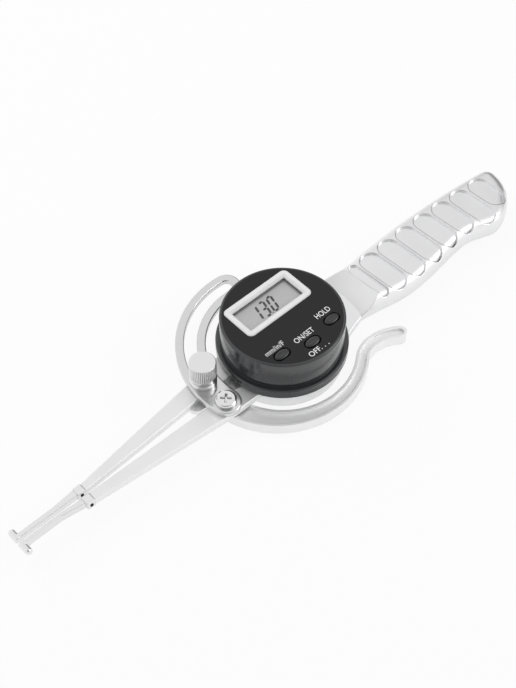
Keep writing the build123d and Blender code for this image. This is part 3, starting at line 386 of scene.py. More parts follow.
class Finishes:
    """Every finish of the caliper."""

    # Aluminium die casting, tumbled and bright plated: soft pale reflections with a faint grain
    CASTING = MetalFinish("bright_plated_aluminium_casting", "#F2F2F3", 0.36, Lay.CAST, grain=0.35, ease=0.6)
    # The trigger's casting has the same plating over a slightly finer grain
    TRIGGER = MetalFinish("bright_plated_trigger_casting", "#F8F8F8", 0.6, Lay.CAST, grain=0.3, ease=0.4)
    # Surface-ground and satin-chromed leg steel: its lines run lengthwise and streak reflections
    LEG = MetalFinish("ground_satin_chrome_steel", "#F6F6F6", 0.5, Lay.GROUND, grain=0.14)
    # Blanked plate, polished and chromed: close to a mirror, so that it shows the knob and its screw
    PLATE = MetalFinish("polished_chromed_plate", "#DDDDDE", 0.14, Lay.CAST, grain=0.8, relief=0.002,
                        ease=0.6, drift=0.02)
    # Turned and chromed knob: faint rings on its top catch the light, and painted shade darkens the hollows
    # between its knurl ribs
    KNOB = MetalFinish("turned_chromed_knob", "#EAEAEA", 0.1, Lay.TURNED, grain=0.18, relief=0.002, ease=0.08,
                       centre=(-36.93, 6.78), drift=0.02, painted_shade_reach=0.1)
    # Turned and chromed pan head of the plate's screw, with painted shade darkening its cross recess
    SCREW = MetalFinish("turned_chromed_screw", "#E8E8E8", 0.12, Lay.TURNED, relief=0.002, ease=0.2,
                        centre=(-36.92, -6.84), drift=0.02, painted_shade_reach=0.3)
    # Bright turned pins, rivets and washers, a shade darker than the chrome
    PIN = MetalFinish("turned_steel_pin", "#C4C4C6", 0.22, Lay.TURNED, grain=0.25, relief=0.006)
    # Blued cross pins of the tips, which look like dark dots in the bright collars
    BLUED = MetalFinish("blued_steel_pin", "#2C2C30", 0.3, Lay.TURNED, grain=0.25, relief=0.004, ease=0.1)
    # Hardened tip steel, lapped to an even satin
    TIP = MetalFinish("lapped_hard_steel", "#EEEEEE", 0.26, Lay.GROUND, ease=0.4)
    # Oiled spring wire, grey and half glossy
    WIRE = MetalFinish("oiled_spring_wire", "#77787C", 0.3, Lay.GROUND, grain=0.3, relief=0.01)
    # Sintered bronze, dull from its open pores
    BRONZE = MetalFinish("sintered_bronze", "#B98A55", 0.4, Lay.CAST, grain=0.15, relief=0.02)
    # Black zinc screws, nearly matt
    ZINC = MetalFinish("black_zinc_screw", "#4A4A4E", 0.35, Lay.CAST, relief=0.01, ease=0.1)
    # Pressed and nickelled can of the cell, with drawing rings
    CELL = MetalFinish("nickelled_cell_can", "#CFCFCD", 0.22, Lay.TURNED, grain=0.25, relief=0.005,
                       centre=(11.0, 0.0))
    # Tinned copper of contacts, leads and pads
    TINNED = MetalFinish("tinned_copper", "#D2CFC6", 0.3, Lay.CAST, grain=0.1, relief=0.004, ease=0.05)
    # Black ABS from a polished mould: dark, with clear soft reflections on the side wall
    HOUSING = PlasticFinish("polished_black_abs", "#343537", 0.2, ease=0.35, coat=0.4)
    # The keys' black ABS, a little glossier than the face round them
    KEY = PlasticFinish("black_key_abs", "#18191B", 0.3, relief=0.001, ease=0.05, coat=0.4)
    # Black nylon of hidden parts, matt from its mould's spark finish
    NYLON = PlasticFinish("black_nylon", "#1B1B1D", 0.5, relief=0.01)
    # Back-printed polyester film: flat even black with no gloss
    FILM = PlasticFinish("matt_black_face_film", "#1C1C1D", 0.6, grain=0.2, relief=0.005, ior=1.42)
    # White ABS of the display's frame, satin
    BEZEL = PlasticFinish("white_frame_abs", "#EFEFEF", 0.35, ease=0.1)
    # Screen-printed white ink, dry and flat
    INK = PlasticFinish("white_screen_ink", "#F4F4F4", 0.6, grain=0.1, ease=0.02)
    # Switched-on liquid crystal, a soft dark grey rather than black
    CRYSTAL = PlasticFinish("liquid_crystal_segment", "#404141", 0.6, grain=0.1, relief=0.001, ease=0.01)
    # Black epoxy of moulded chips, dull
    EPOXY = PlasticFinish("black_moulding_epoxy", "#202123", 0.6, grain=0.12, relief=0.01)
    # Rubber of the zebra strips and of the cell's seal, dull grey
    RUBBER = PlasticFinish("grey_rubber", "#5B5C5E", 0.7, grain=0.2, relief=0.01)
    # Green solder mask with lighter lanes over the copper
    BOARD = BoardFinish("green_circuit_board", "#14502E", "#2E7A45")
    # Reflector film behind the liquid crystal, neutral grey with painted shade along its window's edges
    REFLECTOR = DisplayFilmFinish("display_reflector_film", "#C8C8C8", "#8A8A8A", (0.0, 8.74), (28.7, 11.5))
    # Clear acrylic over the display
    WINDOW = WindowFinish("clear_acrylic_window")


def new_object(name: str, data: Any) -> Object:
    """Put a new object with its mesh, letters, lamp or camera in the scene."""
    made = bpy.data.objects.new(name, data)
    bpy.context.scene.collection.objects.link(made)
    return made


def mesh_piece(name: str, solid: Solid, crease: float = 32.0) -> Object:
    """Make a piece from points and faces, smooth but for its creases.

    Args:
        name: the piece's name.
        solid: its points in millimetres, and the points of each face, anticlockwise from outside.
        crease: edges sharper than this many degrees stay sharp.

    Returns:
        The piece, linked to the scene, at the origin.
    """
    points, faces = solid
    mesh = bpy.data.meshes.new(name)
    mesh.from_pydata((np.asarray(points, float) * MM).tolist(), [], faces)
    mesh.polygons.foreach_set("use_smooth", np.ones(len(mesh.polygons), bool))
    mesh.set_sharp_from_angle(angle=math.radians(crease))
    mesh.update()
    return new_object(name, mesh)


def skin_rings(rings: np.ndarray) -> Solid:
    """Join closed rings of points to a closed solid with a flat cap at each end.

    Args:
        rings: an array of rings by points by three, each ring anticlockwise seen from the last ring.

    Returns:
        The points, and a quad for each step along and round the rings, with the first ring's cap
        turned over so that both caps face outwards.
    """
    count, around = rings.shape[:2]
    index = np.arange(count * around).reshape(count, around)
    turned = np.roll(index, -1, axis=1)
    quads = np.stack([index[:-1], turned[:-1], turned[1:], index[1:]], axis=-1).reshape(-1, 4)
    return rings.reshape(-1, 3), quads.tolist() + [index[0, ::-1].tolist(), index[-1].tolist()]


def join_solids(parts: Sequence[Solid]) -> Solid:
    """Put several solids in one list of points and faces.

    Args:
        parts: the points and faces of each solid.

    Returns:
        All the points, and all the faces numbered to match.
    """
    faces: list[list[int]] = []
    start = 0
    for points, solid_faces in parts:
        faces += [[start + corner for corner in face] for face in solid_faces]
        start += len(points)
    return np.concatenate([points for points, _ in parts]), faces


def plate(outline: np.ndarray, low: float, high: float) -> Solid:
    """Carry an outline straight up to a flat plate.

    Args:
        outline: the outline's points, anticlockwise from above, two columns.
        low: the level of its underside.
        high: the level of its top.

    Returns:
        The plate's points and faces.
    """
    return skin_rings(np.stack([np.column_stack([outline, np.full(len(outline), level)])
                                for level in (low, high)]))


# Corners of a square of half side 1, anticlockwise, two columns
SQUARE = np.array([(-1, -1), (1, -1), (1, 1), (-1, 1)])


def block(corner: Sequence[float], opposite: Sequence[float]) -> Solid:
    """Make a rectangular block.

    Args:
        corner: any one of its corners.
        opposite: the corner across from it.

    Returns:
        The block's points and faces.
    """
    low, high = np.minimum(corner, opposite), np.maximum(corner, opposite)
    return plate(np.where(SQUARE > 0, high[:2], low[:2]), low[2], high[2])


def circle(around: int) -> np.ndarray:
    """Points of a circle of radius 1, anticlockwise, two columns."""
    angles = np.linspace(0, 2 * np.pi, around, endpoint=False)
    return np.column_stack([np.cos(angles), np.sin(angles)])


def lathe(profile: Sequence[tuple[float, float]], centre: np.ndarray, around: int = 96) -> Solid:
    """Turn a profile round an upright axis.

    Args:
        profile: radius and level of each point, from the underside outwards and up.
        centre: the axis's place.
        around: points in each ring.

    Returns:
        The solid, each profile point carried round as a circle.
    """
    return skin_rings(np.stack([np.column_stack([centre + circle(around) * radius, np.full(around, level)])
                                for radius, level in profile]))


@dataclass
class SubAssembly:
    """A group of pieces that belong together, with the finish of each node that it keeps."""

    NODES: ClassVar[dict[Finish, tuple[str, ...]]] = {}

    def build(self) -> list[Object]:
        """Dress the group's nodes, build its new pieces and return them all."""
        kept = []
        for finish, names in self.NODES.items():
            for name in names:
                finish.dress(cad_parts[name])
                kept.append(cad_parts[name])
        return kept + self.new_pieces()

    def new_pieces(self) -> list[Object]:
        """Build nothing new, unless the group has a method of its own."""
        return []

    def carry(self, piece: Object, finish: Finish, body: str, slot: str, *replaced: str) -> Object:
        """Dress a new piece and tie it to the frame.

        Args:
            piece: the piece.
            finish: its finish.
            body: the body that it rides on.
            slot: the material slot that it belongs to; not used.
            replaced: the nodes that it stands in for.

        Returns:
            The piece.
        """
        finish.dress(piece)
        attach(piece, body)
        if replaced:
            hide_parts(*replaced)
        return piece

    @staticmethod
    def box(node: str) -> tuple[np.ndarray, np.ndarray]:
        """Lowest and highest corner of a node, in millimetres."""
        lowest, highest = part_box(node)
        return np.array(lowest) / MM, np.array(highest) / MM


@dataclass
class Handle(SubAssembly):
    """The cast handle with the cup, and the screws of the fixed leg."""

    NODES = {Finishes.CASTING: ("handle_casting",), Finishes.PIN: ("fixed_leg_screws",)}


@dataclass
class Jaws(SubAssembly):
    """Both legs with their collars, pins and tips."""

    NODES = {
        Finishes.LEG: ("fixed_leg", "moving_leg"),
        Finishes.TIP: ("fixed_tip", "moving_tip", "fixed_tip_collar", "moving_tip_collar"),
        Finishes.BLUED: ("fixed_tip_pin", "moving_tip_pin"),
        Finishes.PIN: ("moving_leg_rivets",),
    }


@dataclass
class TriggerAndPivot(SubAssembly):
    """The trigger lever, and what it turns on."""

    NODES = {
        Finishes.TRIGGER: ("trigger_lever",),
        Finishes.BRONZE: ("hub_bush",),
        Finishes.PIN: ("pivot_pin", "pivot_clip", "thrust_washer"),
        Finishes.WIRE: ("return_spring",),
    }


@dataclass
class ArcPlateAndClamp(SubAssembly):
    """The slotted arc plate with its screw, and the clamp with its knurled knob."""

    ribs: int = 44
    rib_depth: float = 0.26
    steps_per_rib: int = 8
    collar_radius: float = 5.1
    collar_height: float = 2.6
    chamfer: float = 0.28
    groove: float = 0.4
    groove_rise: float = 0.1
    knurl_lead: float = 0.8
    ring_radius: float = 1.3
    ring_depth: float = 0.03
    centre_radius: float = 0.4

    # The crown, inward and down in chamfers, and the share of the knurl left on it
    CROWN: ClassVar[tuple[tuple[float, float, float], ...]] = (
        (0.0, 1.0, 1.0), (0.6, 0.4, 0.4), (1.1, 0.0, 0.0))
    # The turned ring on the top, outward from its radius, and the share of its depth
    RING: ClassVar[Pairs] = ((0.3, 0.0), (0.1, 1.0), (-0.1, 1.0), (-0.3, 0.0))
    NODES = {
        Finishes.PLATE: ("quadrant_plate",),
        Finishes.SCREW: ("quadrant_screw",),
        Finishes.KNOB: ("clamp_washer", "clamp_stud"),
        Finishes.PIN: ("quadrant_dowel",),
    }

    def new_pieces(self) -> list[Object]:
        """Build the knob in place of its node.

        Returns:
            The knob: a round profile with a collar, an undercut, the knurled barrel and a crown. Over
            the knurl the radius drops by the rib depth times one less the square root of the size of
            a sine, which gives round ribs with sharp valleys.
        """
        lowest, highest = self.box("lock_knob")
        centre, radius = (lowest + highest)[:2] / 2, (highest - lowest)[0] / 2
        low, high = lowest[2], highest[2]
        step = low + self.collar_height
        profile = [(self.collar_radius - self.chamfer, low, 0.0),
                   (self.collar_radius, low + self.chamfer, 0.0),
                   (self.collar_radius, step - self.groove, 0.0),
                   (self.collar_radius - self.groove, step - self.groove_rise, 0.0),
                   (radius - self.chamfer, step, 0.0),
                   (radius, step + self.chamfer * self.knurl_lead, 1.0),
                   (radius, (step + high) / 2, 1.0)]
        profile += [(radius - self.chamfer * inward, high - self.chamfer * down, knurl)
                    for inward, down, knurl in self.CROWN]
        profile += [(self.ring_radius + outward, high - self.ring_depth * cut, 0.0)
                    for outward, cut in self.RING]
        profile.append((self.centre_radius, high, 0.0))
        reach, level, knurl = (np.array(column)[:, None] for column in zip(*profile))
        angles = np.linspace(0, 2 * np.pi, self.ribs * self.steps_per_rib, endpoint=False)
        valley = 1 - np.sqrt(np.abs(np.sin(self.ribs * angles / 2)))
        away = reach - self.rib_depth * knurl * valley
        rings = np.stack([centre[0] + away * np.cos(angles), centre[1] + away * np.sin(angles),
                          np.broadcast_to(level, away.shape)], axis=-1)
        piece = mesh_piece("knurled_lock_knob", skin_rings(rings), crease=28.0)
        return [self.carry(piece, Finishes.KNOB, "knob", "polished_steel", "lock_knob")]


@dataclass
class Head(SubAssembly):
    """The head's housing, base and screws, and the printed face."""

    ink_thickness: float = 0.03
    dot_radius: float = 0.22
    dot_corners: int = 16

    NODES = {
        Finishes.HOUSING: ("head_base", "head_housing"),
        Finishes.ZINC: ("head_screws",),
        Finishes.FILM: ("face_plate",),
    }
    # Half the letters' thickness before they are pressed flat
    EXTRUDE: ClassVar[float] = 0.5
    # Each word with its middle along X and Y, its width, the height of its capitals and its boldness
    WORDS: ClassVar[tuple[tuple[str, float, float, float, float, float], ...]] = (
        ("mm/in/F", -13.9, -10.0, 9.5, 2.4, 0.0), ("ON/SET", -0.8, -13.1, 10.0, 2.4, 0.004),
        ("HOLD", 12.6, -9.8, 7.4, 2.45, 0.004), ("OFF", -3.3, -21.8, 5.6, 2.4, 0.004))
    DOTS: ClassVar[Pairs] = ((-0.1, -22.7), (1.7, -22.7), (3.6, -22.7))

    def new_pieces(self) -> list[Object]:
        """Build the printed words and dots."""
        pieces = [self.word(*word) for word in self.WORDS] + [self.dots()]
        return [self.carry(piece, Finishes.INK, "frame", "frame_plastic") for piece in pieces]

    def letters(self, text: str, embolden: float) -> tuple[Mesh, np.ndarray]:
        """Turn letters to a mesh.

        Args:
            text: the letters.
            embolden: how far each outline grows, as a share of the letter size.

        Returns:
            The mesh, and its points as an array of three columns.
        """
        curve = bpy.data.curves.new("letters", "FONT")
        curve.body = text
        curve.extrude = self.EXTRUDE
        curve.offset = embolden
        writing = new_object("letters", curve)
        mesh = bpy.data.meshes.new_from_object(writing.evaluated_get(bpy.context.evaluated_depsgraph_get()))
        bpy.data.objects.remove(writing)
        points = np.empty(len(mesh.vertices) * 3, np.float32)
        mesh.vertices.foreach_get("co", points)
        return mesh, points.reshape(-1, 3).astype(float)

    def word(self, text: str, middle_x: float, middle_y: float, width: float, capital: float,
             embolden: float) -> Object:
        """Make one printed word.

        Args:
            text: the letters.
            middle_x: the word's middle along X.
            middle_y: the middle of its capitals along Y.
            width: the word's length.
            capital: the height of its capitals.
            embolden: how far each outline grows, as a share of the letter size.

        Returns:
            The word's mesh, scaled so that an H of its letters has that height, laid on the face.
        """
        stem = self.letters("H", embolden)[1][:, 1]
        mesh, points = self.letters(text, embolden)
        along, up, rise = points.T
        points[:, 0] = (along - along.min()) / np.ptp(along) * width + middle_x - width / 2
        points[:, 1] = (up - stem.min()) / np.ptp(stem) * capital + middle_y - capital / 2
        points[:, 2] = (rise + self.EXTRUDE) * self.ink_thickness + self.box("face_plate")[1][2]
        mesh.vertices.foreach_set("co", (points * MM).astype(np.float32).ravel())
        mesh.update()
        return new_object("mark_" + text.replace("/", "_").lower(), mesh)

    def dots(self) -> Object:
        """Make the three dots, each a thin round plate."""
        face = self.box("face_plate")[1][2]
        dot = circle(self.dot_corners) * self.dot_radius
        return mesh_piece("mark_dots", join_solids([
            plate(dot + np.array(place), face, face + self.ink_thickness) for place in self.DOTS]))


@dataclass
class Display(SubAssembly):
    """The liquid crystal display with its reading, window and frame."""

    reading: str = "13.0"
    digit_height: float = 7.15
    digit_width: float = 2.3
    digit_pitch: float = 4.2
    first_digit: float = -7.2
    digit_middle: float = 8.4
    segment: float = 1.0
    segment_gap: float = 0.14
    point_radius: float = 0.3
    point_corners: int = 12
    slant: float = 0.24
    crystal_thickness: float = 0.02
    window_gap: float = 0.05
    window_inset: float = 0.05
    window_ease: float = 0.15

    NODES = {
        Finishes.REFLECTOR: ("lcd_panel",),
        Finishes.BEZEL: ("lcd_bezel",),
        Finishes.RUBBER: ("zebra_strips",),
    }
    SEGMENTS: ClassVar[dict[str, str]] = {"0": "abcdef", "1": "bc", "3": "abcdg"}

    def new_pieces(self) -> list[Object]:
        """Build the digits and the window."""
        return [self.carry(self.digits(), Finishes.CRYSTAL, "frame", "display_film"),
                self.carry(self.window(), Finishes.WINDOW, "frame", "display_glass", "lcd_window")]

    def bar(self, start: tuple[float, float], end: tuple[float, float]) -> np.ndarray:
        """Outline of one bar segment.

        Args:
            start: one end of the bar's middle line, in the digit's own upright frame.
            end: its other end.

        Returns:
            Six points, anticlockwise: the line's ends drawn in by the gap, and four corners half the
            bar's width to its sides, cut at 45 degrees.
        """
        first, last = np.array(start), np.array(end)
        along = (last - first) / np.linalg.norm(last - first)
        first, last = first + along * self.segment_gap, last - along * self.segment_gap
        half = along * self.segment / 2
        across = np.array([-half[1], half[0]])
        return np.array([first, first + half - across, last - half - across, last, last - half + across,
                         first + half + across])

    def digits(self) -> Object:
        """Make the reading as one piece of thin slanted bars, between the film and the window."""
        low = self.box("lcd_panel")[1][2] + self.crystal_thickness / 2
        wide, tall = self.digit_width, self.digit_height
        lines = {"a": ((0, tall), (wide, tall)), "b": ((wide, tall / 2), (wide, tall)),
                 "c": ((wide, 0), (wide, tall / 2)), "d": ((0, 0), (wide, 0)), "e": ((0, 0), (0, tall / 2)),
                 "f": ((0, tall / 2), (0, tall)), "g": ((0, tall / 2), (wide, tall / 2))}
        outlines = []
        start = 0.0
        for mark in self.reading:
            if mark == ".":
                gap = (self.digit_pitch - wide) / 2
                outlines.append(circle(self.point_corners) * self.point_radius + [start - gap, 0])
            else:
                outlines += [self.bar(*lines[segment]) + [start, 0] for segment in self.SEGMENTS[mark]]
                start += self.digit_pitch
        solids = []
        for outline in outlines:
            level = outline[:, 1] - tall / 2
            placed = np.column_stack([outline[:, 0] + level * self.slant + self.first_digit,
                                      level + self.digit_middle])
            solids.append(plate(placed, low, low + self.crystal_thickness))
        return mesh_piece("display_digits", join_solids(solids))

    def window(self) -> Object:
        """Make the clear window, a plate with eased top edges, just above the film."""
        lowest, highest = self.box("lcd_window")
        middle, half = (lowest + highest)[:2] / 2, (highest - lowest)[:2] / 2 - self.window_inset
        steps = [(0.0, lowest[2] + self.window_gap), (0.0, highest[2] - self.window_ease),
                 (self.window_ease, highest[2])]
        return mesh_piece("display_window", skin_rings(np.stack([
            np.column_stack([middle + SQUARE * (half - inset), np.full(len(SQUARE), level)])
            for inset, level in steps])))


@dataclass
class Keys(SubAssembly):
    """The three oval keys and their switches."""

    # Points up the rim and over the dish, and how far over the dish its last ring lies
    RIM_STEPS: ClassVar[int] = 7
    DISH_STEPS: ClassVar[int] = 10
    DISH_END: ClassVar[float] = 0.96

    flange: float = 0.6
    flange_height: float = 0.95
    gap: float = 0.25
    rim_width: float = 1.0
    rim_height: float = 0.5
    rim_flat: float = 0.05
    dish_depth: float = 0.15
    around: int = 96

    NODES = {Finishes.EPOXY: ("key_switches",)}
    CAPS: ClassVar[tuple[tuple[str, str], ...]] = (
        ("button_units", "units_key"), ("button_power", "power_key"), ("button_hold", "hold_key"))

    def new_pieces(self) -> list[Object]:
        """Build the three caps."""
        return [self.carry(self.cap(node), Finishes.KEY, body, "black_plastic", node)
                for node, body in self.CAPS]

    def cap(self, node: str) -> Object:
        """Build one cap in place of its node.

        Args:
            node: the key's node.

        Returns:
            The cap: ellipses as long as the node, carried up the profile of the flange, the neck and a
            quarter-round rim, then in over a shallow dish, whose depth follows a cosine from the rim
            to the middle.
        """
        lowest, highest = self.box(node)
        middle, size = (lowest + highest)[:2] / 2, (highest - lowest)[:2] / 2 - self.flange
        radius, straight = size[1], size[0] - size[1]
        low, top, seat = lowest[2], highest[2], lowest[2] + self.flange_height
        quarter = np.linspace(0, np.pi / 2, self.RIM_STEPS)
        sweep = np.linspace(0, np.pi / 2 * self.DISH_END, self.DISH_STEPS)
        steps = [(radius + self.flange, low), (radius + self.flange, seat)]
        radius -= self.gap
        inner = radius - self.rim_width - self.rim_flat
        steps.append((radius, seat))
        steps += [(radius - self.rim_width * (1 - math.cos(a)), top - self.rim_height * (1 - math.sin(a)))
                  for a in quarter]
        steps += [(inner * share, top - self.dish_depth * (1 - math.cos(math.pi * (1 - share))) / 2)
                  for share in np.cos(sweep)]
        angles = (np.arange(self.around) + 0.5) * 2 * np.pi / self.around
        return mesh_piece(f"{node}_cap", skin_rings(np.stack([
            np.column_stack([middle[0] + np.cos(angles) * (reach + straight),
                             middle[1] + np.sin(angles) * reach, np.full(self.around, level)])
            for reach, level in steps])))


@dataclass
class Electronics(SubAssembly):
    """The angle encoder, the main board and what they carry."""

    pads: int = 60
    pad_from: float = 12.0
    pad_to: float = 16.8
    pad_thickness: float = 0.04
    leads_per_side: int = 8
    lead_width: float = 0.35
    lead_reach: float = 1.0
    lead_thickness: float = 0.12

    NODES = {
        Finishes.NYLON: ("rotor_carrier",),
        Finishes.BOARD: ("encoder_rotor", "stator_board", "main_board"),
        Finishes.EPOXY: ("sensor_chip", "display_chip"),
        Finishes.ZINC: ("stator_screws", "board_screws"),
    }

    def new_pieces(self) -> list[Object]:
        """Build the rotor's pads and the leads of both chips."""
        made = ((self.rotor_pads(), "jaw"), (self.leads("sensor_chip", 1), "frame"),
                (self.leads("display_chip", -1), "frame"))
        return [self.carry(piece, Finishes.TINNED, body, "contact_metal") for piece, body in made]

    def rotor_pads(self) -> Object:
        """Make the rotor's ring of pads, each a slice of a ring half as wide as the pads' spacing."""
        top = self.box("encoder_rotor")[1][2]
        half = np.pi / self.pads / 2
        corners = np.array([(self.pad_from, -half), (self.pad_to, -half), (self.pad_to, half),
                            (self.pad_from, half)])
        solids = []
        for middle in np.arange(self.pads) * 2 * np.pi / self.pads:
            angles = corners[:, 1] + middle
            outline = corners[:, :1] * np.column_stack([np.cos(angles), np.sin(angles)])
            solids.append(plate(outline, top, top + self.pad_thickness))
        return mesh_piece("encoder_pads", join_solids(solids))

    def leads(self, chip: str, upwards: int) -> Object:
        """Make the leads of one chip.

        Args:
            chip: the chip's node.
            upwards: 1 for a chip on top of its board, -1 for one under it.

        Returns:
            The leads, each of three blocks: out of the chip's side at half its height, straight to
            the board, and a foot along it.
        """
        lowest, highest = self.box(chip)
        middle, half = (lowest + highest) / 2, (highest - lowest) / 2
        shoulder = middle[2]
        board = middle[2] - upwards * half[2]
        thick = self.lead_thickness * upwards
        solids = []
        for side in (-1, 1):
            edge, knee, toe = middle[0] + side * (half[0] + self.lead_reach * np.array([0, 0.5, 1]))
            bend = knee - side * self.lead_thickness
            for place in np.linspace(-1, 1, self.leads_per_side) * (half[1] - self.lead_width):
                near, far = middle[1] + place - self.lead_width / 2, middle[1] + place + self.lead_width / 2
                solids += [block((edge, near, shoulder - thick), (bend, far, shoulder)),
                           block((bend, near, board), (knee, far, shoulder)),
                           block((knee, near, board), (toe, far, board + thick))]
        return mesh_piece(f"{chip}_leads", join_solids(solids))


@dataclass
class Battery(SubAssembly):
    """The battery drawer with its holder and contacts, and the coin cell."""

    groove_reach: float = 1.4
    centre_radius: float = 0.6

    # The base's edge, inward and up from the can's lower corner
    BASE: ClassVar[Pairs] = ((0.9, 0.0), (0.3, 0.1), (0.0, 0.45))
    # The rolled rim, inward and down from the can's upper corner
    ROLL: ClassVar[Pairs] = ((0.0, 0.45), (0.12, 0.22), (0.45, 0.12), (0.9, 0.25), (0.9, 0.45))
    # The cap's edge, inward from the groove's inner wall and down from the top
    CAP: ClassVar[Pairs] = ((0.0, 0.45), (0.1, 0.1), (0.5, 0.0))
    # The seal, outward from the groove's inner wall and down from the top
    SEAL: ClassVar[Pairs] = ((-0.05, 0.6), (0.55, 0.6), (0.52, 0.32), (0.4, 0.24), (-0.05, 0.22))
    NODES = {
        Finishes.HOUSING: ("battery_tray",),
        Finishes.NYLON: ("battery_holder",),
        Finishes.TINNED: ("battery_contacts",),
    }

    def new_pieces(self) -> list[Object]:
        """Build the cell in place of its node.

        Returns:
            The can, a turned profile with a rolled rim round a raised cap, and the seal ring that
            fills the groove between them.
        """
        lowest, highest = self.box("coin_cell")
        centre, radius = (lowest + highest)[:2] / 2, (highest - lowest)[0] / 2
        low, high = lowest[2], highest[2]
        inner = radius - self.groove_reach
        can = ([(self.centre_radius, low)] + [(radius - inward, low + up) for inward, up in self.BASE]
               + [(radius - inward, high - down) for inward, down in self.ROLL]
               + [(inner - inward, high - down) for inward, down in self.CAP] + [(self.centre_radius, high)])
        seal = [(inner + outward, high - down) for outward, down in self.SEAL]
        return [self.carry(mesh_piece("coin_cell_can", lathe(can, centre)), Finishes.CELL, "battery_drawer",
                           "contact_metal", "coin_cell"),
                self.carry(mesh_piece("coin_cell_seal", lathe(seal, centre)), Finishes.RUBBER,
                           "battery_drawer", "chip_resin")]


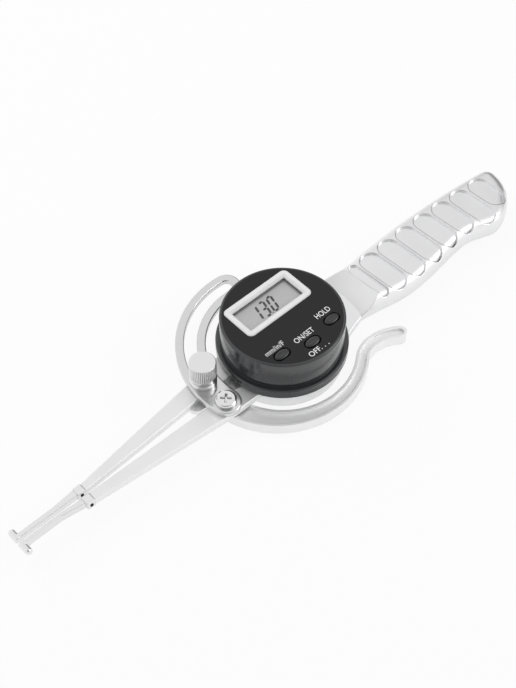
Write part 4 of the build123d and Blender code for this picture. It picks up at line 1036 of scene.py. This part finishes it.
@dataclass
class Studio:
    """A plain white table with soft light, and the camera at the photograph's place."""

    azimuth: float = -42.746
    elevation: float = 52.552
    distance: float = 531.2
    focal_length: float = 68.02
    sensor: float = 36.0
    clip: float = 10.0
    aim: tuple[float, float, float] = (-9.84, -1.78, 12.4)
    floor_side: float = 6000.0
    floor_level: float = -0.1
    world_fill: float = 0.55
    overhead_shade: float = 0.12
    room_shade: float = 0.55
    room_edges: tuple[float, float] = (45.0, 20.0)
    wall_way: tuple[float, float, float] = (0.92, 0.25, 0.05)
    wall_shade: float = 0.85
    wall_edges: tuple[float, float] = (44.0, 24.0)

    # Each lamp with its place, its side, its power in watts and whether reflections show it
    LAMPS: ClassVar[tuple[tuple[str, tuple[float, float, float], float, float, bool], ...]] = (
        ("key_softbox", (-300.0, 700.0, 900.0), 1200.0, 5.7, False),
        ("fill_softbox", (600.0, -500.0, 700.0), 500.0, 2.1, True))

    def build(self) -> None:
        """Build the table, the world, the lamps and the camera."""
        self.table()
        self.world()
        for lamp in self.LAMPS:
            self.lamp(*lamp)
        self.camera()

    @property
    def back(self) -> Vector:
        """The way from the object to the camera, with length 1."""
        turn, lift = math.radians(self.azimuth), math.radians(self.elevation)
        return Vector((math.sin(turn) * math.cos(lift), -math.cos(turn) * math.cos(lift), math.sin(lift)))

    def table(self) -> None:
        """Make the white table just under the object."""
        corners = np.column_stack([SQUARE * self.floor_side / 2, np.full(len(SQUARE), self.floor_level)])
        floor = mesh_piece("studio_table", (corners, [[0, 1, 2, 3]]))
        TableFinish("white_studio_table").dress(floor)

    def world(self) -> None:
        """Make the world white to the camera, and a soft fill where it only lights.

        Glossy and transmission rays see the white too, a little greyer overhead and darker at two flags,
        the room behind the camera and the wall past the grip, so that bright metal has something to show.
        """
        world = bpy.data.worlds.new("white_studio")
        world.use_nodes = True
        tree = world.node_tree
        tree.nodes.clear()
        way = add_node(tree, "ShaderNodeTexCoord").outputs["Generated"]
        height = add_node(tree, "ShaderNodeSeparateXYZ", Vector=way).outputs["Z"]
        sky = add_node(tree, "ShaderNodeMapRange", Value=height, To_Min=1.0, To_Max=1.0 - self.overhead_shade)
        room = self.flag(tree, way, self.back, self.room_edges, self.room_shade)
        wall = self.flag(tree, way, Vector(self.wall_way).normalized(), self.wall_edges, self.wall_shade)
        both = add_node(tree, "ShaderNodeMath", {"operation": "MULTIPLY"}, input_0=room, input_1=wall)
        shown = add_node(tree, "ShaderNodeMath", {"operation": "MULTIPLY"}, input_0=sky, input_1=both)
        path = add_node(tree, "ShaderNodeLightPath")
        reflected = add_node(tree, "ShaderNodeMath", {"operation": "MAXIMUM"},
                             input_0=path.outputs["Is Glossy Ray"],
                             input_1=path.outputs["Is Transmission Ray"])
        fill = add_node(tree, "ShaderNodeBackground", Color=WHITE, Strength=self.world_fill)
        mirror = add_node(tree, "ShaderNodeBackground", Color=WHITE, Strength=shown)
        white = add_node(tree, "ShaderNodeBackground", Color=WHITE, Strength=1.0)
        lighting = add_node(tree, "ShaderNodeMixShader", input_0=reflected, input_1=fill, input_2=mirror)
        mixed = add_node(tree, "ShaderNodeMixShader", input_0=path.outputs["Is Camera Ray"],
                         input_1=lighting, input_2=white)
        add_node(tree, "ShaderNodeOutputWorld", Surface=mixed)
        bpy.context.scene.world = world

    @staticmethod
    def flag(tree: NodeTree, way: NodeSocket, towards: Vector, edges: tuple[float, float],
             shade: float) -> Node:
        """Make a round dark flag in the studio, which only reflections show.

        Args:
            tree: the world's node tree.
            way: the direction that is looked along.
            towards: the direction of the flag's middle, with length 1.
            edges: the angles from the middle, in degrees, where the flag starts and where it is whole.
            shade: the share of the light that it holds back.

        Returns:
            The node of the light's share: 1 outside the flag, and less inside it by a soft step.
        """
        facing = add_node(tree, "ShaderNodeVectorMath", {"operation": "DOT_PRODUCT"}, input_0=way,
                          input_1=towards)
        outer, inner = (math.cos(math.radians(edge)) for edge in edges)
        return add_node(tree, "ShaderNodeMapRange", {"interpolation_type": "SMOOTHSTEP"},
                        Value=facing.outputs["Value"], From_Min=outer, From_Max=inner, To_Min=1.0,
                        To_Max=1.0 - shade)

    @staticmethod
    def lamp(name: str, place: tuple[float, float, float], side: float, power: float, mirrored: bool) -> None:
        """Make one square soft lamp that faces the head.

        Args:
            name: the lamp's name.
            place: its place.
            side: the length of its side.
            power: its power in watts.
            mirrored: whether reflections show it.
        """
        light = bpy.data.lights.new(name, "AREA")
        light.size = side * MM
        light.energy = power
        holder = new_object(name, light)
        holder.location = Vector(place) * MM
        holder.visible_glossy = mirrored
        holder.rotation_euler = (-holder.location).to_track_quat("-Z", "Y").to_euler()

    def camera(self) -> None:
        """Place the camera back from its aim, which is set across the view, along it and up."""
        turn = math.radians(self.azimuth)
        across, along, level = self.aim
        right = Vector((math.cos(turn), math.sin(turn), 0.0))
        ahead = Vector((-math.sin(turn), math.cos(turn), 0.0))
        aim = right * across + ahead * along + Vector((0.0, 0.0, level))
        lens = bpy.data.cameras.new("photo_camera")
        lens.lens = self.focal_length
        lens.sensor_width = self.sensor
        lens.sensor_fit = "AUTO"
        lens.clip_start = self.clip * MM
        holder = new_object("photo_camera", lens)
        holder.location = (aim + self.back * self.distance) * MM
        holder.rotation_euler = self.back.to_track_quat("Z", "Y").to_euler()
        bpy.context.scene.camera = holder


def main() -> None:
    logging.basicConfig(level=logging.INFO, format="%(name)s: %(message)s")
    for group in (Handle, Jaws, TriggerAndPivot, ArcPlateAndClamp, Head, Display, Keys, Electronics, Battery):
        for piece in group().build():
            LOG.info("%s: %s, %d faces", group.__name__, piece.name, len(piece.data.polygons))
    Studio().build()
    bpy.context.scene.view_settings.view_transform = "Standard"


if __name__ == "__main__":
    main()
